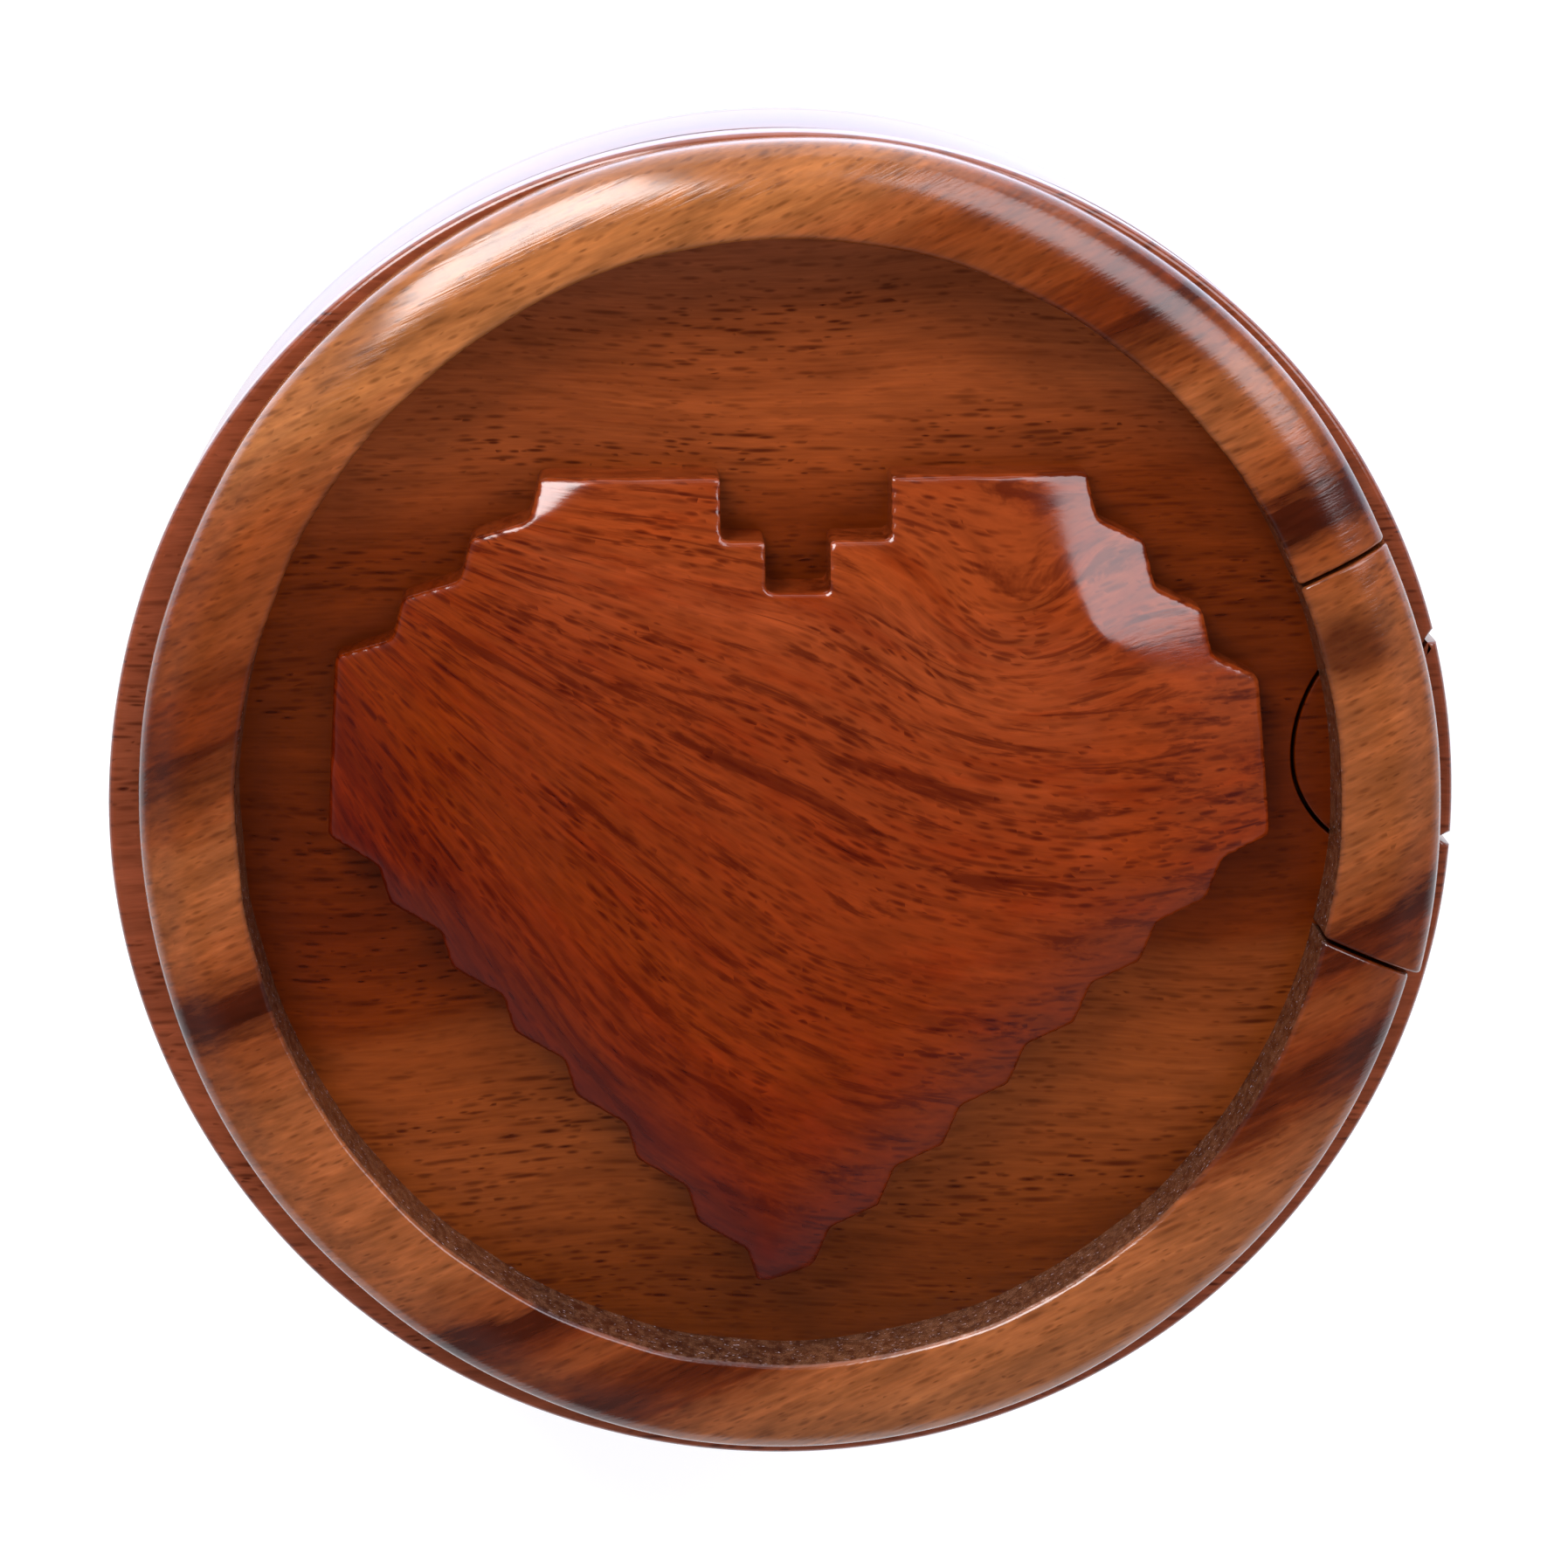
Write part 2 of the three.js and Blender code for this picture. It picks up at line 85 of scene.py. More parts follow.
RING_OUTER = {"x": 0.35, "y": 0.85, "half_width": 57.35, "half_depth": 58.85}
RING_INNER = {"x": 0.3, "y": 1.05, "half_width": 48.6, "half_depth": 50.35}
RING_INNER_EDGE = 0.6
RING_CROWN = [
    (1, 0), (1, 3.6), (0.97, 5), (0.9, 5.75), (0.8, 6.4), (0.65, 7.1), (0.45, 7.65), (0.25, 7.9),
    (0.07, 8),
]

RING_KERF = 0.35
TAB_KERF = 0.34
UPPER_CUT = {"x": 48.6, "y": 22.6, "angle": 24.5}
LOWER_CUT = {"x": 51.5, "y": -12.4, "angle": -24.5}
KEY_PROUD = 1.2

TAB_ROUTE = [
    (64, 22), (58.6, 16.9), (56.3, 13.6), (52.8, 14.4), (48.5, 12.9), (45.9, 7.8),
    (45.8, 2.2), (48.7, -2.3), (53.2, -3.9), (59.4, -3.15), (66, -3.6),
]
TAB_STEPS = 110
NOTCH_DEPTH = 0.6
NOTCH_HALF_WIDTH = 0.6

PIVOT = (0, -53)
DOWEL_RADIUS = 3
DOWEL_EDGE = 0.4
PILOT_SPARE = 0.5  # how far the pilot hole runs on past the screw
PIVOT_BORE_RADIUS = 3.4
WASHER_RADIUS = 4.5
WASHER_HOLE_RADIUS = 1.55
WASHER_EDGE = 0.15
WASHER_POCKET_RADIUS = 5
SCREW_RADIUS = 1.25
SCREW_HEAD_RADIUS = 2.75
SCREW_HEAD_HEIGHT = 2
SCREW_TAPER = 2
SCREW_POINT_RADIUS = 0.1
SCREW_SLOT = {"width": 0.8, "depth": 0.9, "half_length": 4}

FOOT_EDGE = 0.3
FOOT = {"x": 51, "y": 5.3, "half_width": 2.8, "half_length": 3.2}
GROOVE_CLEARANCE = 0.5
GROOVE_END = 66

HEART_MARGIN = 1
HEART_OUTLINE_TOP = 30.7
SHOULDER_STAIRS = 3
DIAGONAL_STAIRS = 7
HEART_RIGHT = {
    "notch_floor": 3.8,
    "notch_top": 9.2,
    "lobe": 26.5,
    "riser": (0.9, -4.07),
    "tread": (4.25, -2.05),
    "side": (1.2, -14.3),
    "diagonal_tread": (-4.36, -1.75),
    "diagonal_riser": (-1.44, -3.8),
}
HEART_LEFT = {
    "notch_floor": 1.8,
    "notch_top": 5.7,
    "lobe": 21.4,
    "riser": (0.95, -3.62),
    "tread": (5.1, -1.75),
    "side": (0.8, -15.9),
    "diagonal_tread": (-4.47, -2.41),
    "diagonal_riser": (-0.94, -3.46),
}
NOTCH_FLOOR = 20.7
NOTCH_SHELF = 25.2

# ---- Fineness ----

TURN_STEPS = 288  # faces round a turned piece
SMALL_TURN_STEPS = 72
ROUND_STEPS = 6  # faces across a rounded edge
FLAT_BORDER = 0.4  # a flat strip inside each rounded edge, which keeps the flat's shading flat
SHARP_ANGLE = 40
PAST = 1  # how far a cutter reaches past what it cuts


# ---- Mesh helpers ----


def unit(x, y):
    length = math.hypot(x, y) or 1
    return x / length, y / length


def polar(radius, degrees, centre=(0, 0)):
    angle = math.radians(degrees)
    return centre[0] + radius * math.cos(angle), centre[1] + radius * math.sin(angle)


def quarter(centre, radii, start, steps=ROUND_STEPS):
    """A quarter of an ellipse that begins at the angle start, as a list of points."""
    turns = [math.radians(start + 90 * i / steps) for i in range(steps + 1)]
    return [(centre[0] + radii[0] * math.cos(t), centre[1] + radii[1] * math.sin(t)) for t in turns]


def rectangle(centre, half_width, half_depth):
    x, y = centre
    signs = ((-1, -1), (1, -1), (1, 1), (-1, 1))
    return [(x + i * half_width, y + j * half_depth) for i, j in signs]


def spline(points, steps):
    """A uniform Catmull-Rom curve through the points, as three.js draws it."""
    padded = [points[0], *points, points[-1]]
    curve = []
    for step in range(steps + 1):
        place = (len(points) - 1) * step / steps
        i = min(int(place), len(points) - 2)
        t = place - i
        a, b, c, d = padded[i:i + 4]
        curve.append(tuple(
            b[k] + t * (c[k] - a[k]) / 2
            + t * t * (2 * a[k] - 5 * b[k] + 4 * c[k] - d[k]) / 2
            + t ** 3 * (3 * b[k] - a[k] - 3 * c[k] + d[k]) / 2
            for k in (0, 1)
        ))
    return curve


def inset(outline, distances):
    """Moves each point of a closed anticlockwise outline inwards by its own distance."""
    moved = []
    for i, (x, y) in enumerate(outline):
        before = outline[i - 1]
        after = outline[(i + 1) % len(outline)]
        come = unit(x - before[0], y - before[1])
        leave = unit(after[0] - x, after[1] - y)
        inward = unit(-come[1] - leave[1], come[0] + leave[0])
        mitre = max(inward[1] * come[0] - inward[0] * come[1], 0.6)
        reach = distances[i] / mitre
        moved.append((x + inward[0] * reach, y + inward[1] * reach))
    return moved


def joined_loops(loops, closed=False):
    """Faces between equal loops of points, with a cap on the first and the last unless closed."""
    size = len(loops[0])
    points = [point for loop in loops for point in loop]
    faces = []
    for i in range(len(loops) if closed else len(loops) - 1):
        low = i * size
        high = (i + 1) % len(loops) * size
        for j in range(size):
            k = (j + 1) % size
            faces.append((low + j, low + k, high + k, high + j))
    if not closed:
        faces.append(tuple(reversed(range(size))))
        faces.append(tuple(range(len(points) - size, len(points))))
    return points, faces


def mesh_of(name, points, faces):
    mesh = bpy.data.meshes.new(name)
    mesh.from_pydata([Vector(point) * MM for point in points], [], faces)
    mesh.validate()
    mesh.update()
    return mesh


def solid(name, points, faces):
    piece = bpy.data.objects.new(name, mesh_of(name, points, faces))
    bpy.context.scene.collection.objects.link(piece)
    return piece


def with_modifiers(piece):
    """Applies the piece's modifiers to its mesh."""
    bpy.context.view_layer.update()
    graph = bpy.context.evaluated_depsgraph_get()
    mesh = bpy.data.meshes.new_from_object(piece.evaluated_get(graph))
    piece.modifiers.clear()
    piece.data = mesh
    return piece


def combined(piece, other, operation):
    """Cuts or intersects the piece with the other, which is used up."""
    cut = piece.modifiers.new("cut", "BOOLEAN")
    cut.operation = operation
    cut.object = other
    cut.solver = "EXACT"
    with_modifiers(piece)
    bpy.data.objects.remove(other)
    return piece


def finished(piece, material, body):
    """Gives a piece its shading, material and body, and hides the CAD node of its name."""
    node = piece.name.removesuffix("_looks")
    piece.data.materials.clear()
    piece.data.materials.append(material)
    piece.data.shade_smooth()
    piece.data.set_sharp_from_angle(angle=math.radians(SHARP_ANGLE))
    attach(piece, body)
    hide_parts(node)
    return piece


def rounded_slab(name, outline, edges, low, high):
    """A flat solid with the given outline, whose rounded edges have a radius at each point."""
    turns = [math.pi / 2 * i / ROUND_STEPS for i in range(ROUND_STEPS + 1)]
    steps = [(1, FLAT_BORDER, low, 0)]
    steps += [(1 - math.sin(t), 0, low, 1 - math.cos(t)) for t in turns]
    steps += [(1 - math.cos(t), 0, high, math.sin(t) - 1) for t in turns]
    steps += [(1, FLAT_BORDER, high, 0)]
    loops = []
    for share, border, height, rise in steps:
        ring = inset(outline, [edge * share + border for edge in edges])
        loops.append([(x, y, height + rise * edge) for (x, y), edge in zip(ring, edges)])
    return solid(name, *joined_loops(loops))


def turned(name, profile, centre=(0, 0), steps=TURN_STEPS, wobble=None):
    """Turns a closed profile of (radius, height) points, none of them on the axis."""
    loops = []
    for i in range(steps):
        degrees = 360 * i / steps
        loop = []
        for radius, height in profile:
            grown = radius + (wobble(degrees, radius, height) if wobble else 0)
            loop.append((*polar(grown, degrees, centre), height))
        loops.append(loop)
    return solid(name, *joined_loops(loops, closed=True))


def turned_disc(name, profile, centre=(0, 0), steps=TURN_STEPS, wobble=None):
    """Turns an open profile, whose first and last points bound its two flat faces."""
    loops = []
    for radius, height in profile:
        loop = []
        for i in range(steps):
            degrees = 360 * i / steps
            grown = radius + (wobble(degrees, radius, height) if wobble else 0)
            loop.append((*polar(grown, degrees, centre), height))
        loops.append(loop)
    return solid(name, *joined_loops(loops))


def disc_profile(radius, low, high, low_edge, high_edge):
    return [
        (radius - low_edge - FLAT_BORDER, low),
        *quarter((radius - low_edge, low + low_edge), (low_edge, low_edge), -90),
        *quarter((radius - high_edge, high - high_edge), (high_edge, high_edge), 0),
        (radius - high_edge - FLAT_BORDER, high),
    ]


def hand_wobble(amount, period, seed):
    """The small waver that hand sanding leaves in a round outline, in millimetres."""
    def at(degrees, radius=BOX_RADIUS, height=0):
        x, y = polar(radius / period, degrees)
        return amount * noise.noise(Vector((x, y, height / period + seed)))
    return at


# ---- Box ----

WALL_MIDDLE = 50
rim_wobble = hand_wobble(0.25, 34, 3)


def outside_wobble(degrees, radius, height):
    """The rim's waver on the outside of the wall, and none in the cavity."""
    return rim_wobble(degrees, radius, height) * (radius > WALL_MIDDLE)


def base_plate():
    profile = disc_profile(BOX_RADIUS, BASE_BOTTOM, BASE_TOP, BASE_EDGE, GLUED_EDGE)
    return turned_disc("base_plate_looks", profile, wobble=rim_wobble)


def pivot_cylinder(radius, low, high):
    profile = [(radius, low), (radius, high)]
    return turned_disc("cutter", profile, PIVOT, SMALL_TURN_STEPS)


def pivot_band(inner, outer, start, end, steps=24):
    bearings = [start + (end - start) * i / steps for i in range(steps + 1)]
    outside = [polar(outer, bearing, PIVOT) for bearing in bearings]
    inside = [polar(inner, bearing, PIVOT) for bearing in reversed(bearings)]
    return outside + inside


def foot_band(clearance, end=None):
    """The outline of the key's foot, or of the groove it runs in, as a band about the pivot."""
    reach = (FOOT["x"] - PIVOT[0], FOOT["y"] - PIVOT[1])
    radius = math.hypot(*reach)
    bearing = math.degrees(math.atan2(reach[1], reach[0]))
    half_angle = math.degrees((FOOT["half_length"] + clearance) / radius)
    half_width = FOOT["half_width"] + clearance
    stop = bearing + half_angle if end is None else end
    return pivot_band(radius - half_width, radius + half_width, bearing - half_angle, stop)


def prism(outline, low, high):
    loops = [[(x, y, height) for x, y in outline] for height in (low, high)]
    return solid("cutter", *joined_loops(loops))


def box_body():
    edge = BODY_EDGE
    profile = [
        (CAVITY_RADIUS, BASE_TOP),
        (BOX_RADIUS, BASE_TOP),
        *quarter((BOX_RADIUS - edge, BODY_TOP - edge), (edge, edge), 0),
        (BOX_RADIUS - edge - FLAT_BORDER, BODY_TOP),
        (CAVITY_RADIUS + edge + FLAT_BORDER, BODY_TOP),
        *quarter((CAVITY_RADIUS + edge, BODY_TOP - edge), (edge, edge), 90),
    ]
    body = turned("box_body_looks", profile, wobble=outside_wobble)
    groove_floor = FOOT_BOTTOM - GROOVE_CLEARANCE
    groove = prism(foot_band(GROOVE_CLEARANCE, GROOVE_END), groove_floor, BODY_TOP + PAST)
    combined(body, groove, "DIFFERENCE")
    under = BASE_TOP - PAST
    bore = pivot_cylinder(PIVOT_BORE_RADIUS, under, BODY_TOP + PAST)
    combined(body, bore, "DIFFERENCE")
    pocket = pivot_cylinder(WASHER_POCKET_RADIUS, under, DOWEL_BOTTOM)
    combined(body, pocket, "DIFFERENCE")
    return body


def lining_wall():
    """A flocked sleeve, soft along its top edge."""
    inner = LINING_OUTER - LINING_THICKNESS
    half = LINING_THICKNESS / 2
    profile = [
        (inner, BASE_TOP),
        (LINING_OUTER, BASE_TOP),
        (LINING_OUTER, LINING_TOP - half),
        *quarter((LINING_OUTER - half, LINING_TOP - half), (half, half), 0),
        *quarter((LINING_OUTER - half, LINING_TOP - half), (half, half), 90),
    ]
    nap = hand_wobble(0.12, 1.3, 11)
    return turned("lining_wall_looks", profile, wobble=nap)


def lining_floor():
    profile = disc_profile(FLOOR_RADIUS, BASE_TOP, FLOOR_TOP, GLUED_EDGE, LINING_FLOOR_EDGE)
    return turned_disc("lining_floor_looks", profile)


# ---- Lid plate and key tab ----


def tab_edge(growth):
    """The tab's outline between its two rim notches, widened by growth on all sides."""
    route = spline(TAB_ROUTE, TAB_STEPS)
    shifted = []
    for i, (x, y) in enumerate(route):
        before = route[max(i - 1, 0)]
        after = route[min(i + 1, len(route) - 1)]
        along = unit(after[0] - before[0], after[1] - before[1])
        shifted.append((x + growth * along[1], y - growth * along[0]))
    limit = BOX_RADIUS - NOTCH_DEPTH
    return [point for point in shifted if math.hypot(*point) < limit]


def rim_arc(start, end):
    """Points on the rim from one bearing to another, anticlockwise, about a degree apart."""
    steps = max(round(end - start), 2)
    bearings = [start + (end - start) * i / steps for i in range(steps + 1)]
    return [polar(BOX_RADIUS + rim_wobble(b), b) for b in bearings]


def plate_slab(name, rim, edge_line):
    edges = [PLATE_EDGE] * len(rim) + [TAB_KERF / 2] * len(edge_line)
    return rounded_slab(name, rim + edge_line, edges, LID_BOTTOM, PLATE_TOP)


def notch_bearings():
    """The bearings at which the tab's saw cut leaves the rim, upper and lower."""
    line = tab_edge(0)
    return [math.degrees(math.atan2(y, x)) for x, y in (line[0], line[-1])]


def lid_plate():
    mouth = math.degrees(NOTCH_HALF_WIDTH / BOX_RADIUS)
    upper, lower = notch_bearings()
    rim = rim_arc(upper + mouth, lower - mouth + 360)
    return plate_slab("lid_plate_looks", rim, tab_edge(TAB_KERF / 2)[::-1])


def key_tab():
    mouth = math.degrees(NOTCH_HALF_WIDTH / BOX_RADIUS)
    upper, lower = notch_bearings()
    rim = rim_arc(lower + mouth, upper - mouth)
    return plate_slab("key_tab_looks", rim, tab_edge(-TAB_KERF / 2))


# ---- Frame ring and key ring ----

RING_ARC_STEPS = 30
LID_RING_STEPS = 420
KEY_RING_STEPS = 48
CUT_SEARCH = 25  # degrees to either side of a saw cut in which its ends are looked for
CUT_HALVINGS = 30
CUT_ROUND = 0.35  # the rounded arrises of the saw cuts
inner_wobble = hand_wobble(0.22, 9, 21)
outer_wobble = hand_wobble(0.25, 20, 5)


def on_ellipse(ellipse, degrees, growth=0):
    angle = math.radians(degrees)
    x = ellipse["x"] + (ellipse["half_width"] + growth) * math.cos(angle)
    y = ellipse["y"] + (ellipse["half_depth"] + growth) * math.sin(angle)
    return x, y


def ring_section(shrink):
    """The ring's section as (share of its width, height) points, shrunk inwards all round."""
    width = RING_OUTER["half_width"] - RING_INNER["half_width"]
    height = RING_TOP - PLATE_TOP
    edge = RING_INNER_EDGE
    crown = spline([(share * width, rise) for share, rise in RING_CROWN], RING_ARC_STEPS)
    inner_edge = quarter((edge, height - edge), (edge, edge), 90)
    outline = [(0, 0), (width / 2, 0), *crown, *inner_edge[1:], (0, height / 2)]
    sunk = [0, 0, 0, *[shrink] * (len(outline) - 3)]
    return [(x / width, y) for x, y in inset(outline, sunk)]


def ring_point(share, degrees, growth_at):
    inner = on_ellipse(RING_INNER, degrees, inner_wobble(degrees))
    outer = on_ellipse(RING_OUTER, degrees, growth_at(degrees) + outer_wobble(degrees))
    return tuple(inner[k] + (outer[k] - inner[k]) * share for k in (0, 1))


def turn_at_cut(cut, distance, share, growth_at):
    """The ring angle at which a section point lies the given distance past a saw cut."""
    slope = math.radians(cut["angle"])
    low, high = cut["angle"] - CUT_SEARCH, cut["angle"] + CUT_SEARCH
    for _ in range(CUT_HALVINGS):
        middle = (low + high) / 2
        x, y = ring_point(share, middle, growth_at)
        past = (y - cut["y"]) * math.cos(slope) - (x - cut["x"]) * math.sin(slope)
        if past < distance:
            low = middle
        else:
            high = middle
    return low


def ring_piece(name, start_cut, end_cut, whole_turn, growth_at, steps):
    """The ring's stretch from one saw cut anticlockwise to another, with rounded ends."""
    ends = []
    for cut, side in ((start_cut, 1), (end_cut, -1)):
        rings = []
        for i in range(ROUND_STEPS + 1):
            turn = math.pi / 2 * i / ROUND_STEPS
            section = ring_section(CUT_ROUND * (1 - math.sin(turn)))
            depth = RING_KERF / 2 + CUT_ROUND * (1 - math.cos(turn))
            rings.append([(share, height, turn_at_cut(cut, side * depth, share, growth_at))
                          for share, height in section])
        ends.append(rings)
    first, last = ends[0], ends[1][::-1]
    last = [[(s, h, t + whole_turn) for s, h, t in ring] for ring in last]
    between = []
    for i in range(1, steps):
        part = i / steps
        pairs = zip(first[-1], last[0])
        between.append([(a[0], a[1], a[2] + (b[2] - a[2]) * part) for a, b in pairs])
    loops = []
    for ring in first + between + last:
        loops.append([(*ring_point(s, t, growth_at), PLATE_TOP + h) for s, h, t in ring])
    return solid(name, *joined_loops(loops))


def no_growth(degrees):
    return 0


def key_growth(degrees):
    """The key's segment stands proud of the frame, more and more towards its lower cut."""
    span = UPPER_CUT["angle"] - LOWER_CUT["angle"]
    return KEY_PROUD * min(max((UPPER_CUT["angle"] - degrees) / span, 0), 1)


def lid_ring():
    return ring_piece("lid_ring_looks", UPPER_CUT, LOWER_CUT, 360, no_growth, LID_RING_STEPS)


def key_ring():
    return ring_piece("key_ring_looks", LOWER_CUT, UPPER_CUT, 0, key_growth, KEY_RING_STEPS)


# ---- Heart ----

HEART_VOXEL = 0.32
HEART_SMOOTHING = 6
HEART_SINK = 2  # how far the heart's raw solid reaches below the plate before it is trimmed
HULL_SOFTNESS = 1.6
CAKE_RINGS = 70
CAKE_TURNS = 400
CAKE_CROWDING = 1.3  # above 1, the loops crowd towards the edge
HULL_HALVINGS = 24
TRIM = {"half_width": 90, "above": 9}

# The crown falls away along each side of the hull, from the left shoulder round by the tip: how far
# in that begins, the slope at the side, and the form, from 1 for a facet to 2 for a round.
HULL_BEVELS = [
    (4, 0.3, 2), (9, 0.3, 2), (10, 0.52, 2), (8, 0.6, 2),
    (11, 0.55, 2), (16, 0.35, 1.3), (3, 0.5, 2), (2.5, 0.3, 2),
]
# The flat facets planed off its top and shoulders, as a point, the bearing they face, their slope
# and how softly they begin.
FACETS = [
    (0, 22, 80, 0.24, 1.5), (26.8, 16.4, 41, 0.45, 0.3),
    (-18.75, 27.3, 116, 0.51, 0.3), (-23.5, 25, 166, 0.36, 3),
]
BEVEL_BLEND = 5
BEVEL_LIMIT = 1.3


def heart_side(side):
    """One side of the heart, from the notch's floor to the tip, with x measured outwards."""
    points = [
        (side["notch_floor"], NOTCH_FLOOR),
        (side["notch_floor"], NOTCH_SHELF),
        (side["notch_top"], NOTCH_SHELF),
        (side["notch_top"], HEART_OUTLINE_TOP),
        (side["lobe"], HEART_OUTLINE_TOP),
    ]
    hull = [points[-1]]
    moves = [side["riser"], side["tread"]] * SHOULDER_STAIRS
    moves += [side["side"]]
    moves += [side["diagonal_tread"], side["diagonal_riser"]] * DIAGONAL_STAIRS
    corners = (2 * SHOULDER_STAIRS, 2 * SHOULDER_STAIRS + 1, len(moves))
    for count, (dx, dy) in enumerate(moves, start=1):
        points.append((points[-1][0] + dx, points[-1][1] + dy))
        if count in corners:
            hull.append(points[-1])
    return points, hull


def both_sides(part):
    left = [(-x, y) for x, y in heart_side(HEART_LEFT)[part]]
    return left + heart_side(HEART_RIGHT)[part][::-1]


HEART_OUTLINE = both_sides(0)
HEART_HULL = both_sides(1)


def hull_depths(x, y):
    """How far a point is inside each side of the heart's hull."""
    depths = []
    for i, (ax, ay) in enumerate(HEART_HULL):
        bx, by = HEART_HULL[(i + 1) % len(HEART_HULL)]
        along = unit(bx - ax, by - ay)
        depths.append(along[0] * (y - ay) - along[1] * (x - ax))
    return depths


def inside_hull(x, y):
    """How far a point is inside the heart's hull, with its corners softened."""
    total = sum(math.exp(-depth / HULL_SOFTNESS) for depth in hull_depths(x, y))
    return -HULL_SOFTNESS * math.log(total)


def crown_height(x, y):
    fall = 0
    for depth, (reach, slope, form) in zip(hull_depths(x, y), HULL_BEVELS):
        share = min(max(1 - depth / reach, 0), BEVEL_LIMIT)
        fall += (slope * reach / form * share ** form) ** BEVEL_BLEND
    for facet_x, facet_y, bearing, slope, softness in FACETS:
        across = polar(1, bearing)
        past = (x - facet_x) * across[0] + (y - facet_y) * across[1]
        fall += (slope * softness * math.log1p(math.exp(past / softness))) ** BEVEL_BLEND
    return HEART_TOP - PLATE_TOP - fall ** (1 / BEVEL_BLEND)


def hull_reach(dx, dy):
    """How far the raw solid reaches from the middle in a direction."""
    low, high = 0, 2 * BOX_RADIUS
    for _ in range(HULL_HALVINGS):
        middle = (low + high) / 2
        if inside_hull(middle * dx, middle * dy) > -HEART_MARGIN:
            low = middle
        else:
            high = middle
    return low


def crowned_cake():
    """The heart's crowned block before its stairs are cut."""
    directions = [polar(1, 360 * i / CAKE_TURNS) for i in range(CAKE_TURNS)]
    reaches = [hull_reach(*direction) for direction in directions]
    loops = [[(dx * r, dy * r, PLATE_TOP - HEART_SINK) for (dx, dy), r in zip(directions, reaches)]]
    for ring in range(CAKE_RINGS):
        share = 1 - (ring / CAKE_RINGS) ** CAKE_CROWDING
        loop = []
        for (dx, dy), reach in zip(directions, reaches):
            x, y = dx * reach * share, dy * reach * share
            loop.append((x, y, PLATE_TOP + crown_height(x, y)))
        loops.append(loop)
    return solid("heart_inlay_looks", *joined_loops(loops))


def heart_inlay():
    heart = crowned_cake()
    outline = prism(HEART_OUTLINE, PLATE_TOP - HEART_SINK - PAST, HEART_TOP + PAST)
    combined(heart, outline, "INTERSECT")
    remesh = heart.modifiers.new("remesh", "REMESH")
    remesh.mode = "VOXEL"
    remesh.voxel_size = HEART_VOXEL * MM
    smooth = heart.modifiers.new("smooth", "SMOOTH")
    smooth.factor = 0.5
    smooth.iterations = HEART_SMOOTHING
    with_modifiers(heart)
    square = rectangle((0, 0), TRIM["half_width"], TRIM["half_width"])
    return combined(heart, prism(square, PLATE_TOP, HEART_TOP + TRIM["above"]), "INTERSECT")


# ---- Key foot and pivot ----


def key_foot():
    outline = foot_band(0)
    edges = [FOOT_EDGE] * len(outline)
    return rounded_slab("key_foot_looks", outline, edges, FOOT_BOTTOM, LID_BOTTOM)


def pivot_dowel():
    profile = disc_profile(DOWEL_RADIUS, DOWEL_BOTTOM, DOWEL_TOP, DOWEL_EDGE, DOWEL_EDGE)
    dowel = turned_disc("pivot_dowel_looks", profile, PIVOT, SMALL_TURN_STEPS)
    pilot = pivot_cylinder(WASHER_HOLE_RADIUS, DOWEL_BOTTOM - PAST, SCREW_TOP + PILOT_SPARE)
    return combined(dowel, pilot, "DIFFERENCE")


def pivot_washer():
    edge = WASHER_EDGE
    profile = [
        *quarter((WASHER_HOLE_RADIUS + edge, WASHER_BOTTOM + edge), (edge, edge), 180),
        *quarter((WASHER_RADIUS - edge, WASHER_BOTTOM + edge), (edge, edge), -90),
        *quarter((WASHER_RADIUS - edge, WASHER_TOP - edge), (edge, edge), 0),
        *quarter((WASHER_HOLE_RADIUS + edge, WASHER_TOP - edge), (edge, edge), 90),
    ]
    return turned("pivot_washer_looks", profile, PIVOT, SMALL_TURN_STEPS)


def pivot_screw():
    edge = SCREW_HEAD_HEIGHT / 2
    seat = SCREW_BOTTOM + SCREW_HEAD_HEIGHT
    profile = [
        (SCREW_HEAD_RADIUS - edge - FLAT_BORDER, SCREW_BOTTOM),
        *quarter((SCREW_HEAD_RADIUS - edge, SCREW_BOTTOM + edge), (edge, edge), -90),
        (SCREW_HEAD_RADIUS, seat),
        (SCREW_RADIUS, seat),
        (SCREW_RADIUS, SCREW_TOP - SCREW_TAPER),
        (SCREW_POINT_RADIUS, SCREW_TOP),
    ]
    screw = turned_disc("pivot_screw_looks", profile, PIVOT, SMALL_TURN_STEPS)
    outline = rectangle(PIVOT, SCREW_SLOT["half_length"], SCREW_SLOT["width"] / 2)
    slot = prism(outline, SCREW_BOTTOM - PAST, SCREW_BOTTOM + SCREW_SLOT["depth"])
    return combined(screw, slot, "DIFFERENCE")


# ---- Material helpers ----


def linear(red, green, blue):
    """A linear colour from sRGB values of 0 to 255."""
    def one(value):
        share = value / 255
        return share / 12.92 if share < 0.04045 else ((share + 0.055) / 1.055) ** 2.4
    return one(red), one(green), one(blue), 1


